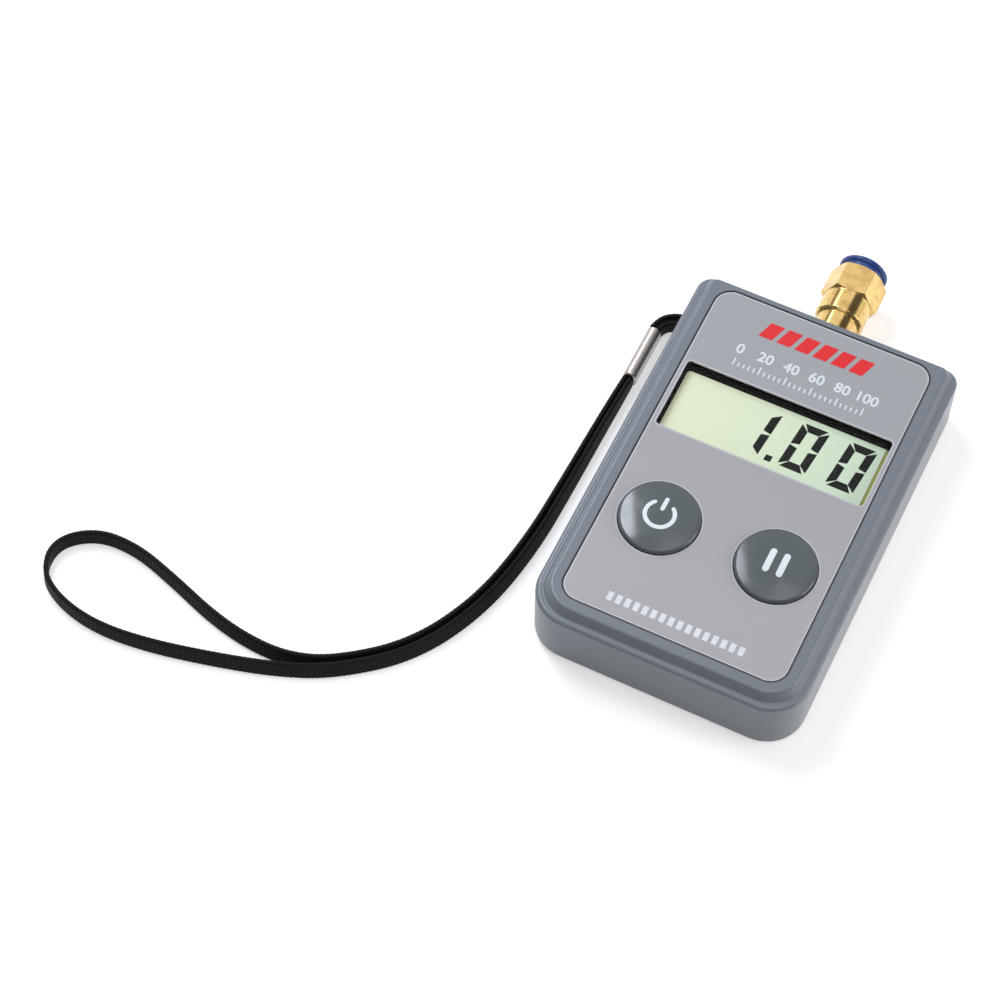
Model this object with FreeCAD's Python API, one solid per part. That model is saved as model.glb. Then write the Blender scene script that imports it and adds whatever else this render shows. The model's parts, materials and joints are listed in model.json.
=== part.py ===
import FreeCAD, Part
import math
import os

# Hand-held digital pressure gauge with a push-in tube fitting and a wrist strap.
# Frame: the gauge lies on its back. X runs to the right as the face is read, Y along the case towards
# the fitting, Z out of the face. The origin is the centre of the case's back face. Millimetres.

# Case
CASE_THICKNESS = 18.6
CASE_SIDE_LAND = 5.8
CASE_LOW_LAND = 5.8
WALL = 2.0
LOW_CORNER_R = 9.3
HIGH_CORNER_R = 3.7
RIM_LIFT = 0.8
RIM_THICKNESS = 1.0
RIM_EDGE_R = 0.8
SEAM_GAP = 0.1
WALL_EDGE_R = 0.95

# Raised land round the panel
LAND_DROP = 2.1
LAND_TOP_MARGIN = 2.75
LAND_BASE_MARGIN = 4.2
LAND_EDGE_R = 0.8
LAND_FOOT_R = 0.5
TOP_LAND = 1.9
TOP_SHOULDER = 1.2
TOP_FOOT = 1.05
LAND_HIGH_CORNER_R = 2.0

# Front panel
PANEL_SIDE_STRIP = 1.2
PANEL_THICKNESS = 0.5
PANEL_CORNER_R = 4.2
PANEL_RECESS = 0.6
PANEL_GAP = 0.2
ROOF_UNDER_PANEL = 1.5

# Display
WINDOW_WIDTH = 50.0
WINDOW_HEIGHT = 18.6
WINDOW_ABOVE_KEYS = 12.95
WINDOW_CORNER_R = 0.9
BEZEL_LINING = 0.8
BEZEL_WEB = 0.6
BEZEL_FLANGE = 2.3
LENS_THICKNESS = 0.8
LENS_GAP = 0.1
LENS_MARGIN = 0.75
GLASS_THICKNESS = 1.1
FILM_THICKNESS = 0.2
FILM_SIDE_MARGIN = 1.0
GLASS_MARGIN = 1.5
CONTACT_LEDGE = 3.0
HOLDER_WALL = 1.0
HOLDER_FIT = 0.1
ZEBRA_WIDTH = 2.0
ZEBRA_END_MARGIN = 2.5

# Keys
KEY_RADIUS = 9.2
KEY_SPACING = 27.7
KEY_ABOVE_BAY = 6.3
KEY_GAP = 0.2
KEY_STAND = 0.9
KEY_CROWN = 1.1
KEY_RIM_R = 0.8
KEY_FLANGE = 1.0
KEY_FLANGE_THICKNESS = 1.1
KEY_FLANGE_GAP = 0.05
KEY_SKIN = 1.3
KEY_STEM_R = 1.7
KEY_TRAVEL = 0.5
KEY_TAB_WIDTH = 2.0
KEY_TAB_REACH = 1.4
KEY_GUIDE_THICKNESS = 0.8

# Switches under the keys
SWITCH_SIDE = 6.0
SWITCH_HEIGHT = 3.5
PLUNGER_R = 1.75
PLUNGER_RUN_GAP = 0.06
PLUNGER_STAND = 1.4
PLUNGER_SINK = 0.5
PLUNGER_FLOOR_GAP = 0.2

# Circuit board
BOARD_THICKNESS = 1.6
BOARD_TOP_Z = 9.4
BOARD_PAST_WINDOW = 2.0
BOARD_TAIL_PAST_KEYS = 8.65
BOARD_PAST_SENSOR_EDGE = 2.8
BOARD_WAIST_BELOW_WINDOW = 9.5
BOARD_BELOW_KEYS = 4.35
HIGH_POST_FROM_SIDE = 7.0
HIGH_POST_ABOVE_WINDOW = 5.9
LOW_POST_FROM_SIDE = 2.4
LOW_POST_BELOW_WINDOW = 7.0
POST_R = 2.0
BOARD_SCREW_R = 0.8
BOARD_SCREW_LENGTH = 5.5
BOARD_SCREW_HEAD_R = 1.6
BOARD_SCREW_HEAD = 1.1
CHIP_SIDE = 10.0
CHIP_HEIGHT = 1.6
CHIP_ABOVE_WINDOW_EDGE = 2.5
CRYSTAL_LENGTH = 8.0
CRYSTAL_R = 1.5
CRYSTAL_BELOW_WINDOW = 7.5
CAPACITOR_R = 2.5
CAPACITOR_HEIGHT = 4.4
CAPACITOR_X = 15.0
CAPACITOR_BELOW_WINDOW = 3.5

# Pressure sensor and its tube
SENSOR_WIDTH = 11.6
SENSOR_LENGTH = 8.4
SENSOR_HEIGHT = 6.6
SENSOR_ABOVE_WINDOW = 5.1
SENSOR_FIT = 0.15
NIPPLE_R = 1.7
NIPPLE_LENGTH = 3.0
NIPPLE_BORE_R = 0.8
SENSOR_LEAD_PLACES = (0.7, 2.0)
SENSOR_LEAD_REACH = 2.0
SENSOR_LEAD_WIDTH = 0.7
SENSOR_LEAD_THICKNESS = 0.4
SENSOR_TUBE_WALL = 1.2
SENSOR_TUBE_END_GAP = 0.2

# Push-in fitting, stations measured along Y from the case's top end
FITTING_STEM_R = 4.0
FITTING_HOLE_GAP = 0.1
WALL_SEAL_THICKNESS = 1.0
WALL_SEAL_R = 5.4
NECK_R = 5.0
NECK_END = 5.4
BARREL_R = 5.85
BARREL_END = 11.4
BARREL_CHAMFER = 0.5
HEX_FLATS = 12.0
HEX_END = 18.9
HEX_CHAMFER = 0.9
MOUTH_R = 5.3
MOUTH_DEPTH = 1.7
SOCKET_R = 5.0
SOCKET_DEPTH = 6.0
TUBE_R = 3.0
TUBE_GAP = 0.05
TUBE_STOP_DEPTH = 11.0
THROUGH_BORE_R = 1.6
STEM_INSIDE = 5.3
BARB_LENGTH = 2.0
BARB_TO_NIPPLE = 0.9
NUT_FLATS = 11.0
NUT_THICKNESS = 2.8
TUBE_SEAL_THICKNESS = 1.7
COLLET_THICKNESS = 1.2
COLLET_SHEET = 0.4
COLLET_SLITS = 8
COLLET_SLIT_WIDTH = 0.5
GUIDE_THICKNESS = 1.2
SOCKET_FIT = 0.05

# Release ring
RING_SLEEVE_R = 4.0
RING_BORE_GAP = 0.15
RING_NECK_R = 5.2
RING_NECK_INSIDE = 0.8
RING_NECK_OUTSIDE = 1.6
RING_LIP_R = 5.9
RING_LIP_THICKNESS = 1.45
RING_LIP_ROUND = 0.45
RING_SLEEVE_INSIDE = 2.1
RING_MOUTH_FLARE = 0.8
RING_TRAVEL = 0.7

# Battery bay, cells and cover
CELL_R = 5.25
CELL_LENGTH = 43.7
CELL_NUB_R = 1.9
CELL_NUB = 0.8
CELL_EDGE = 0.5
CELL_PITCH = 11.0
BAY_FROM_LOW_END = 3.75
CONTACT_DEPTH = 2.15
BAY_SIDE_GAP = 0.3
BAY_WALL = 0.8
CELL_BACK_GAP = 2.3
BAY_ROOF_GAP = 0.3
COVER_RECESS = 1.2
COVER_THICKNESS = 1.1
COVER_LAP = 0.7
COVER_LAP_X = 1.2
COVER_GAP = 0.2
COVER_TAB_X = 14.0
COVER_TAB_WIDTH = 8.0
COVER_TAB_THICKNESS = 1.0
COVER_NECK = 0.9
COVER_RIB_HEIGHT = 1.0
COVER_RIB_WIDTH = 1.2
COVER_RIB_END_GAP = 3.85
THUMB_WIDTH = 14.0
THUMB_DEPTH = 0.5
CONTACT_SHEET = 0.4
CONTACT_HEIGHT = 7.0
CONTACT_WIDTH = 8.0
LEAF_HALF_SPAN = 3.2
LEAF_HEIGHT = 4.0
BUMP_R = 1.4

# Fasteners
REAR_PLATE = 2.0
HIGH_SCREW_FROM_SIDE = 9.7
HIGH_SCREW_FROM_END = 7.8
LOW_SCREW_FROM_SIDE = 5.0
LOW_SCREW_ABOVE_BAY = 5.95
BOSS_R = 2.4
REAR_BOSS_R = 3.2
REAR_BOSS_TOP = 4.2
BOSS_FACE_GAP = 0.1
SCREW_HEAD_R = 2.4
SCREW_HEAD = 1.7
SCREW_HEAD_LIFT = 0.7
SCREW_R = 1.2
SCREW_LENGTH = 9.0
SCREW_HOLE_GAP = 0.3
CROSS_WIDTH = 0.6
CROSS_LENGTH = 2.6
CROSS_DEPTH = 0.8
LOCATING_RIM = 1.2
LOCATING_RIM_HEIGHT = 2.0
NUT_CLEARANCE = 1.2
REAR_RIB_HEIGHT = 1.2
REAR_RIB_WIDTH = 1.0
REAR_RIB_COUNT = 3
REAR_RIB_PITCH = 16.0
REAR_RIB_ABOVE_KEYS = 6.65
REAR_RIB_LENGTH = 46.0
REAR_EDGE_R = 0.5

# Strap notch and pin
NOTCH_FROM_HIGH_END = 4.2
NOTCH_LENGTH = 5.6
NOTCH_DEPTH = 5.6
NOTCH_TOP_Z = 6.4
NOTCH_FLOOR_Z = 1.0
NOTCH_WALL = 0.9
PIN_FROM_SIDE = 2.7
PIN_R = 0.9
PIN_LOW_Z = 0.3
PIN_HIGH_Z = 8.6
PIN_BLOCK_TOP_Z = 9.4

# Strap
STRAP_WIDTH = 4.2
STRAP_THICKNESS = 1.2
FERRULE_LENGTH = 14.6
FERRULE_THICKNESS = 3.2
FERRULE_HEIGHT = 5.2
FERRULE_END_R = 0.5
FERRULE_X = -38.6
FERRULE_LOW_Y = 22.8
LOOP_BAND_WIDTH = 4.0
LOOP_LOW_Z = 1.1

# The strap's route on the table, strand by strand: down beside the case, out to the left, round the
# open loop and back to the ferrule beside itself.
STRAP_ROUTE = (
    (-39.45, 22.8), (-39.9, 9.4), (-40.3, -8.6), (-41.0, -26.4), (-44.3, -44.9), (-52.6, -61.3),
    (-66.0, -72.4), (-75.7, -76.0), (-85.6, -76.0), (-95.8, -74.0), (-107.8, -69.8), (-119.0, -66.5),
    (-129.1, -66.9), (-136.3, -73.0), (-134.9, -81.3), (-127.0, -85.9), (-116.5, -87.6), (-104.1, -86.3),
    (-90.1, -83.1), (-77.0, -79.4), (-65.2, -74.2), (-51.2, -62.6), (-42.7, -45.6), (-39.3, -26.8),
    (-38.8, -8.6), (-38.6, 9.4), (-38.2, 22.8),
)

# The short end's route: out of the ferrule, round the pin and back.
ANCHOR_ROUTE = (
    (-39.4, 37.4), (-38.9, 40.2), (-36.0, 42.8), (-32.0, 43.6), (-27.62, 43.44), (-27.62, 40.16),
    (-31.4, 40.4), (-35.0, 40.9), (-37.2, 39.4), (-37.7, 37.4),
)

# Levels and places that follow from the sizes
PANEL_WIDTH = WINDOW_WIDTH + 2 * PANEL_SIDE_STRIP
CASE_WIDTH = PANEL_WIDTH + 2 * CASE_SIDE_LAND
BAY_HALF_Y = CELL_PITCH / 2 + CELL_R + BAY_SIDE_GAP
CASE_LENGTH = (BAY_FROM_LOW_END + 2 * BAY_HALF_Y + KEY_ABOVE_BAY + KEY_RADIUS + WINDOW_ABOVE_KEYS
               + WINDOW_HEIGHT + SENSOR_ABOVE_WINDOW + SENSOR_LENGTH + NIPPLE_LENGTH + BARB_TO_NIPPLE
               + BARB_LENGTH + STEM_INSIDE)
HALF_WIDTH = CASE_WIDTH / 2
LOW_END = -CASE_LENGTH / 2
HIGH_END = CASE_LENGTH / 2
MID_Z = CASE_THICKNESS / 2
LEDGE_Z = CASE_THICKNESS - LAND_DROP
PANEL_FLOOR_Z = CASE_THICKNESS - PANEL_RECESS
ROOF_Z = PANEL_FLOOR_Z - ROOF_UNDER_PANEL
SIDE_ROOF_Z = LEDGE_Z - WALL
LAND_HIGH_Y = HIGH_END - TOP_SHOULDER
PANEL_HIGH_Y = LAND_HIGH_Y - TOP_LAND
PANEL_LOW_Y = LOW_END + CASE_LOW_LAND
BAY_CENTRE_Y = LOW_END + BAY_FROM_LOW_END + BAY_HALF_Y
BAY_HIGH_Y = BAY_CENTRE_Y + BAY_HALF_Y
BAY_LENGTH_X = CELL_LENGTH + CELL_NUB + 2 * CONTACT_DEPTH
KEY_Y = BAY_HIGH_Y + KEY_ABOVE_BAY
WINDOW_LOW_Y = KEY_Y + KEY_RADIUS + WINDOW_ABOVE_KEYS
WINDOW_HIGH_Y = WINDOW_LOW_Y + WINDOW_HEIGHT
SENSOR_LOW_Y = WINDOW_HIGH_Y + SENSOR_ABOVE_WINDOW
LENS_TOP_Z = PANEL_FLOOR_Z - LENS_GAP
LENS_LOW_Z = LENS_TOP_Z - LENS_THICKNESS
LCD_TOP_Z = ROOF_Z - BEZEL_WEB
FLANGE_TOP_Z = ROOF_Z - KEY_FLANGE_GAP
FLANGE_LOW_Z = FLANGE_TOP_Z - KEY_FLANGE_THICKNESS
PLUNGER_TOP_Z = BOARD_TOP_Z + SWITCH_HEIGHT + PLUNGER_STAND
BOARD_LOW_Z = BOARD_TOP_Z - BOARD_THICKNESS
CELL_Z = CELL_BACK_GAP + CELL_R
BAY_ROOF_Z = CELL_Z + CELL_R + BAY_ROOF_GAP
COVER_HALF_X = BAY_LENGTH_X / 2 + COVER_LAP_X
COVER_LOW_Y = BAY_CENTRE_Y - BAY_HALF_Y - COVER_LAP
COVER_HIGH_Y = BAY_CENTRE_Y + BAY_HALF_Y + COVER_LAP
CELL_HALF = (CELL_LENGTH + CELL_NUB) / 2
INNER_END_Y = HIGH_END - WALL
BOARD_WIDTH = WINDOW_WIDTH + 2 * BOARD_PAST_WINDOW
BOARD_TAIL_WIDTH = KEY_SPACING + 2 * BOARD_TAIL_PAST_KEYS
BOARD_HIGH_Y = SENSOR_LOW_Y + BOARD_PAST_SENSOR_EDGE
BOARD_WAIST_Y = WINDOW_LOW_Y - BOARD_WAIST_BELOW_WINDOW
BOARD_LOW_Y = KEY_Y - BOARD_BELOW_KEYS
BOARD_POSTS = (
    (BOARD_WIDTH / 2 - HIGH_POST_FROM_SIDE, WINDOW_HIGH_Y + HIGH_POST_ABOVE_WINDOW),
    (BOARD_WIDTH / 2 - LOW_POST_FROM_SIDE, WINDOW_LOW_Y - LOW_POST_BELOW_WINDOW),
)
CASE_SCREWS = (
    (HALF_WIDTH - HIGH_SCREW_FROM_SIDE, HIGH_END - HIGH_SCREW_FROM_END),
    (HALF_WIDTH - LOW_SCREW_FROM_SIDE, BAY_HIGH_Y + LOW_SCREW_ABOVE_BAY),
)
CHIP_Y = WINDOW_LOW_Y + CHIP_ABOVE_WINDOW_EDGE
CRYSTAL_Y = WINDOW_LOW_Y - CRYSTAL_BELOW_WINDOW
CAPACITOR_Y = WINDOW_LOW_Y - CAPACITOR_BELOW_WINDOW
NOTCH_HIGH_Y = HIGH_END - NOTCH_FROM_HIGH_END
NOTCH_LOW_Y = NOTCH_HIGH_Y - NOTCH_LENGTH
NOTCH_INNER_X = -HALF_WIDTH + NOTCH_DEPTH
PIN_X = -HALF_WIDTH + PIN_FROM_SIDE
PIN_Y = (NOTCH_LOW_Y + NOTCH_HIGH_Y) / 2


def vec(x, y, z):
    return FreeCAD.Vector(x, y, z)


def block(x0, x1, y0, y1, z0, z1):
    return Part.makeBox(x1 - x0, y1 - y0, z1 - z0, vec(x0, y0, z0))


def upright(x, y, z0, z1, radius):
    return Part.makeCylinder(radius, z1 - z0, vec(x, y, z0), vec(0, 0, 1))


def outline(half_width, y0, y1, low_r, high_r, z):
    """Rectangle with rounded corners, its lower pair and its upper pair of one radius each."""
    corners = (
        (half_width, y0, low_r, -90), (half_width, y1, high_r, 0),
        (-half_width, y1, high_r, 90), (-half_width, y0, low_r, 180),
    )
    arcs = []
    for x, y, radius, start in corners:
        centre = vec(x - math.copysign(radius, x), y + (radius if y == y0 else -radius), z)
        arcs.append(Part.makeCircle(radius, centre, vec(0, 0, 1), start, start + 90))
    edges = []
    for index, arc in enumerate(arcs):
        following = arcs[(index + 1) % len(arcs)]
        edges.append(arc)
        edges.append(Part.makeLine(arc.Vertexes[-1].Point, following.Vertexes[0].Point))
    return Part.Wire(edges)


def prism(wire, height):
    return Part.Face(wire).extrude(vec(0, 0, height))


def slab(half_width, y0, y1, low_r, high_r, z0, z1):
    return prism(outline(half_width, y0, y1, low_r, high_r, z0), z1 - z0)


def case_slab(inset, z0, z1):
    """The case's plan, drawn in by one inset all round."""
    return slab(HALF_WIDTH - inset, LOW_END + inset, HIGH_END - inset,
                LOW_CORNER_R - inset, HIGH_CORNER_R - inset, z0, z1)


def turned(profile):
    """Solid of revolution about the fitting's axis from (radius, y) points."""
    points = [vec(radius, y, MID_Z) for radius, y in profile]
    face = Part.Face(Part.makePolygon(points + points[:1]))
    return face.revolve(vec(0, 0, MID_Z), vec(0, 1, 0), 360)


def sleeve(inner_r, outer_r, y0, y1):
    return turned(((inner_r, y0), (outer_r, y0), (outer_r, y1), (inner_r, y1)))


def hexagon(flats, y0, y1):
    """Hexagonal bar along Y with one flat facing the front."""
    radius = flats / math.sqrt(3)
    points = []
    for corner in range(7):
        angle = math.radians(60 * corner)
        points.append(vec(radius * math.cos(angle), y0, MID_Z + radius * math.sin(angle)))
    return Part.Face(Part.makePolygon(points)).extrude(vec(0, y1 - y0, 0))


def edges_at(shape, z, inside=None):
    """Edges that lie wholly at one height, optionally only those that pass a test on their middle."""
    found = []
    for edge in shape.Edges:
        box = edge.BoundBox
        if abs(box.ZMin - z) < 1e-4 and abs(box.ZMax - z) < 1e-4:
            if inside is None or inside(edge.CenterOfMass):
                found.append(edge)
    return found


def fuse(shape, others):
    return shape.fuse(others).removeSplitter()


def save(name, shape):
    shape.exportStep("parts/" + name + ".step")


def mirrored_pairs(places):
    return [(side * x, y) for x, y in places for side in (-1, 1)]


# Case

def case_outside():
    """Deep tub with a raised land whose edge runs out at the top end."""
    body = case_slab(0, RIM_LIFT, LEDGE_Z)
    body = body.makeFillet(WALL_EDGE_R, edges_at(body, LEDGE_Z))
    body = body.makeFillet(RIM_EDGE_R, edges_at(body, RIM_LIFT))
    base_half = PANEL_WIDTH / 2 + LAND_BASE_MARGIN
    top_half = PANEL_WIDTH / 2 + LAND_TOP_MARGIN
    land = Part.makeLoft([
        outline(base_half, PANEL_LOW_Y - LAND_BASE_MARGIN, HIGH_END - TOP_FOOT,
                PANEL_CORNER_R + LAND_BASE_MARGIN, LAND_HIGH_CORNER_R, LEDGE_Z),
        outline(top_half, PANEL_LOW_Y - LAND_TOP_MARGIN, LAND_HIGH_Y,
                PANEL_CORNER_R + LAND_TOP_MARGIN, LAND_HIGH_CORNER_R, CASE_THICKNESS),
    ], True, True)
    land = land.makeFillet(LAND_EDGE_R, edges_at(land, CASE_THICKNESS))
    shell = fuse(body, [land])
    foot = edges_at(shell, LEDGE_Z, lambda middle: abs(middle.x) < base_half + 0.01
                    and PANEL_LOW_Y - LAND_BASE_MARGIN - 0.01 < middle.y < HIGH_END - TOP_FOOT - 0.5)
    return shell.makeFillet(LAND_FOOT_R, foot)


def front_shell():
    shell = case_outside()
    base_half = PANEL_WIDTH / 2 + LAND_BASE_MARGIN
    upper_half = base_half - WALL - 0.6
    hollow = [
        case_slab(WALL, 0, SIDE_ROOF_Z),
        slab(upper_half, PANEL_LOW_Y, INNER_END_Y, PANEL_CORNER_R, HIGH_CORNER_R - WALL, 0, ROOF_Z),
        case_slab(RIM_THICKNESS, 0, REAR_PLATE + SEAM_GAP / 2),
    ]
    shell = shell.cut(hollow)
    posts = []
    for x, y in mirrored_pairs(CASE_SCREWS):
        posts.append(upright(x, y, REAR_BOSS_TOP + BOSS_FACE_GAP, SIDE_ROOF_Z + WALL / 2, BOSS_R))
        if abs(x) < upper_half:
            posts.append(upright(x, y, SIDE_ROOF_Z, ROOF_Z + WALL / 4, BOSS_R))
    for x, y in mirrored_pairs(BOARD_POSTS):
        posts.append(upright(x, y, BOARD_TOP_Z, ROOF_Z + WALL / 4, POST_R))
    for side in (-1, 1):
        for edge in (-1, 1):
            guide_x = side * KEY_SPACING / 2 + edge * (KEY_TAB_WIDTH / 2 + KEY_GAP + KEY_GUIDE_THICKNESS / 2)
            guide_y = KEY_Y + KEY_RADIUS + KEY_FLANGE + KEY_GAP
            posts.append(block(guide_x - KEY_GUIDE_THICKNESS / 2, guide_x + KEY_GUIDE_THICKNESS / 2,
                               guide_y, guide_y + KEY_TAB_REACH, FLANGE_LOW_Z - KEY_TRAVEL, ROOF_Z + WALL / 4))
    posts.append(block(-HALF_WIDTH + WALL / 2, NOTCH_INNER_X + NOTCH_WALL, NOTCH_LOW_Y - NOTCH_WALL,
                       INNER_END_Y + WALL / 4, REAR_PLATE + SEAM_GAP / 2, PIN_BLOCK_TOP_Z))
    shell = fuse(shell, posts)
    cuts = [
        slab(PANEL_WIDTH / 2 + PANEL_GAP, PANEL_LOW_Y - PANEL_GAP, PANEL_HIGH_Y + PANEL_GAP,
             PANEL_CORNER_R + PANEL_GAP, PANEL_CORNER_R + PANEL_GAP, PANEL_FLOOR_Z, CASE_THICKNESS + 1),
        window_slab(BEZEL_LINING + SEAM_GAP, ROOF_Z - 1, PANEL_FLOOR_Z + 1),
        block(-HALF_WIDTH - 1, NOTCH_INNER_X, NOTCH_LOW_Y, NOTCH_HIGH_Y, 0, NOTCH_TOP_Z),
        upright(PIN_X, PIN_Y, 0, PIN_HIGH_Z, PIN_R),
        turned(((0, INNER_END_Y - 1), (FITTING_STEM_R + FITTING_HOLE_GAP, INNER_END_Y - 1),
                (FITTING_STEM_R + FITTING_HOLE_GAP, HIGH_END + 1), (0, HIGH_END + 1))),
    ]
    for side in (-1, 1):
        cuts.append(upright(side * KEY_SPACING / 2, KEY_Y, ROOF_Z - 1, CASE_THICKNESS + 1, KEY_RADIUS + KEY_GAP))
    for x, y in mirrored_pairs(CASE_SCREWS):
        cuts.append(upright(x, y, 0, SCREW_HEAD_LIFT + SCREW_HEAD + SCREW_LENGTH, SCREW_R))
    for x, y in mirrored_pairs(BOARD_POSTS):
        cuts.append(upright(x, y, 0, BOARD_LOW_Z + BOARD_SCREW_LENGTH, BOARD_SCREW_R))
    return shell.cut(cuts)


def rear_shell():
    plate = case_slab(RIM_THICKNESS + SEAM_GAP, 0, REAR_PLATE)
    plate = plate.makeFillet(REAR_EDGE_R, edges_at(plate, 0))
    rim = case_slab(WALL + SEAM_GAP, REAR_PLATE, REAR_PLATE + LOCATING_RIM_HEIGHT)
    rim = rim.cut(case_slab(WALL + SEAM_GAP + LOCATING_RIM, 0, CASE_THICKNESS))
    rim = rim.cut(block(-HALF_WIDTH, NOTCH_INNER_X + NOTCH_WALL + SEAM_GAP, NOTCH_LOW_Y - NOTCH_WALL - SEAM_GAP,
                        HIGH_END, 0, CASE_THICKNESS))
    nut_half = NUT_FLATS / math.sqrt(3) + NUT_CLEARANCE
    rim = rim.cut(block(-nut_half, nut_half, INNER_END_Y - NUT_THICKNESS - LOCATING_RIM, HIGH_END,
                        0, CASE_THICKNESS))
    bay_half_x = BAY_LENGTH_X / 2
    bay = block(-bay_half_x - BAY_WALL, bay_half_x + BAY_WALL, BAY_CENTRE_Y - BAY_HALF_Y - BAY_WALL,
                BAY_CENTRE_Y + BAY_HALF_Y + BAY_WALL, REAR_PLATE / 2, BAY_ROOF_Z + BAY_WALL)
    extras = [rim, bay]
    for x, y in mirrored_pairs(CASE_SCREWS):
        extras.append(upright(x, y, REAR_PLATE / 2, REAR_BOSS_TOP, REAR_BOSS_R))
    for index in range(REAR_RIB_COUNT):
        y = KEY_Y + REAR_RIB_ABOVE_KEYS + index * REAR_RIB_PITCH
        extras.append(block(-REAR_RIB_LENGTH / 2, REAR_RIB_LENGTH / 2, y, y + REAR_RIB_WIDTH,
                            REAR_PLATE / 2, REAR_PLATE + REAR_RIB_HEIGHT))
    shell = fuse(plate, extras)
    shell = shell.common(case_slab(RIM_THICKNESS + SEAM_GAP, 0, REAR_PLATE).fuse(
        case_slab(WALL + SEAM_GAP, REAR_PLATE, CASE_THICKNESS)))
    cuts = [
        block(-bay_half_x, bay_half_x, BAY_CENTRE_Y - BAY_HALF_Y, BAY_CENTRE_Y + BAY_HALF_Y, -1, BAY_ROOF_Z),
        block(-COVER_HALF_X, COVER_HALF_X, COVER_LOW_Y, COVER_HIGH_Y, -1, COVER_RECESS),
        block(-HALF_WIDTH, NOTCH_INNER_X, NOTCH_LOW_Y, NOTCH_HIGH_Y, NOTCH_FLOOR_Z, REAR_PLATE + 1),
        upright(PIN_X, PIN_Y, PIN_LOW_Z, REAR_PLATE + 1, PIN_R),
    ]
    for side in (-1, 1):
        cuts.append(block(side * COVER_TAB_X - COVER_TAB_WIDTH / 2 - COVER_GAP,
                          side * COVER_TAB_X + COVER_TAB_WIDTH / 2 + COVER_GAP,
                          COVER_LOW_Y, BAY_CENTRE_Y, REAR_PLATE, REAR_PLATE + 3 * COVER_GAP + COVER_TAB_THICKNESS))
    for x, y in mirrored_pairs(CASE_SCREWS):
        cuts.append(upright(x, y, -1, SCREW_HEAD_LIFT + SCREW_HEAD, SCREW_HEAD_R + SCREW_HOLE_GAP))
        cuts.append(upright(x, y, -1, REAR_BOSS_TOP + 1, SCREW_R + SCREW_HOLE_GAP))
    return shell.cut(cuts)


def battery_cover():
    """Flat lid with two hook tabs along its lower edge, ribs that hold the cells and a thumb hollow."""
    half_x = COVER_HALF_X - COVER_GAP
    low_y = COVER_LOW_Y + COVER_GAP
    high_y = COVER_HIGH_Y - COVER_GAP
    cover = block(-half_x, half_x, low_y, high_y, 0, COVER_THICKNESS)
    extras = []
    neck_y = BAY_CENTRE_Y - BAY_HALF_Y + COVER_GAP
    tab_z = REAR_PLATE + COVER_GAP
    for side in (-1, 1):
        x0 = side * COVER_TAB_X - COVER_TAB_WIDTH / 2
        x1 = x0 + COVER_TAB_WIDTH
        extras.append(block(x0, x1, neck_y, neck_y + COVER_NECK, COVER_THICKNESS / 2, tab_z + COVER_TAB_THICKNESS))
        extras.append(block(x0, x1, COVER_LOW_Y + COVER_GAP / 4, neck_y + COVER_NECK / 2,
                            tab_z, tab_z + COVER_TAB_THICKNESS))
        rib_y = BAY_CENTRE_Y + side * CELL_PITCH / 2
        rib_half = CELL_LENGTH / 2 - COVER_RIB_END_GAP
        extras.append(block(-rib_half, rib_half, rib_y - COVER_RIB_WIDTH / 2,
                            rib_y + COVER_RIB_WIDTH / 2, COVER_THICKNESS / 2, COVER_THICKNESS + COVER_RIB_HEIGHT))
    cover = fuse(cover, extras)
    thumb_r = (THUMB_WIDTH ** 2 / 4 + THUMB_DEPTH ** 2) / (2 * THUMB_DEPTH)
    thumb = Part.makeCylinder(thumb_r, CELL_R, vec(0, high_y - CELL_R - 1, THUMB_DEPTH - thumb_r), vec(0, 1, 0))
    return cover.cut(thumb)


def case_screws():
    screws = []
    for x, y in mirrored_pairs(CASE_SCREWS):
        head = upright(x, y, SCREW_HEAD_LIFT, SCREW_HEAD_LIFT + SCREW_HEAD, SCREW_HEAD_R)
        shank = upright(x, y, SCREW_HEAD_LIFT + SCREW_HEAD, SCREW_HEAD_LIFT + SCREW_HEAD + SCREW_LENGTH, SCREW_R)
        cross = []
        for width, length in ((CROSS_WIDTH, CROSS_LENGTH), (CROSS_LENGTH, CROSS_WIDTH)):
            cross.append(block(x - width / 2, x + width / 2, y - length / 2, y + length / 2,
                               0, SCREW_HEAD_LIFT + CROSS_DEPTH))
        screws.append(fuse(head, [shank]).cut(cross))
    return Part.makeCompound(screws)


# Front panel and display

def window_slab(margin, z0, z1):
    return slab(WINDOW_WIDTH / 2 + margin, WINDOW_LOW_Y - margin, WINDOW_HIGH_Y + margin,
                WINDOW_CORNER_R + margin, WINDOW_CORNER_R + margin, z0, z1)


def face_panel():
    sheet = slab(PANEL_WIDTH / 2, PANEL_LOW_Y, PANEL_HIGH_Y, PANEL_CORNER_R, PANEL_CORNER_R,
                 PANEL_FLOOR_Z, PANEL_FLOOR_Z + PANEL_THICKNESS)
    cuts = [window_slab(0, PANEL_FLOOR_Z - 1, CASE_THICKNESS + 1)]
    for side in (-1, 1):
        cuts.append(upright(side * KEY_SPACING / 2, KEY_Y, PANEL_FLOOR_Z - 1, CASE_THICKNESS + 1,
                            KEY_RADIUS + KEY_GAP))
    return sheet.cut(cuts)


def display_bezel():
    """Black frame that lines the window, carries the lens and stops against the case's roof."""
    lining = window_slab(BEZEL_LINING, LCD_TOP_Z, LENS_LOW_Z)
    flange = window_slab(BEZEL_FLANGE, LCD_TOP_Z, ROOF_Z)
    return fuse(lining, [flange]).cut(window_slab(0, 0, CASE_THICKNESS))


def display_window():
    return window_slab(LENS_MARGIN, LENS_LOW_Z, LENS_TOP_Z)


def glass(low_margin, side_margin, z0, z1):
    return block(-WINDOW_WIDTH / 2 - side_margin, WINDOW_WIDTH / 2 + side_margin,
                 WINDOW_LOW_Y - low_margin, WINDOW_HIGH_Y + GLASS_MARGIN, z0, z1)


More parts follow.
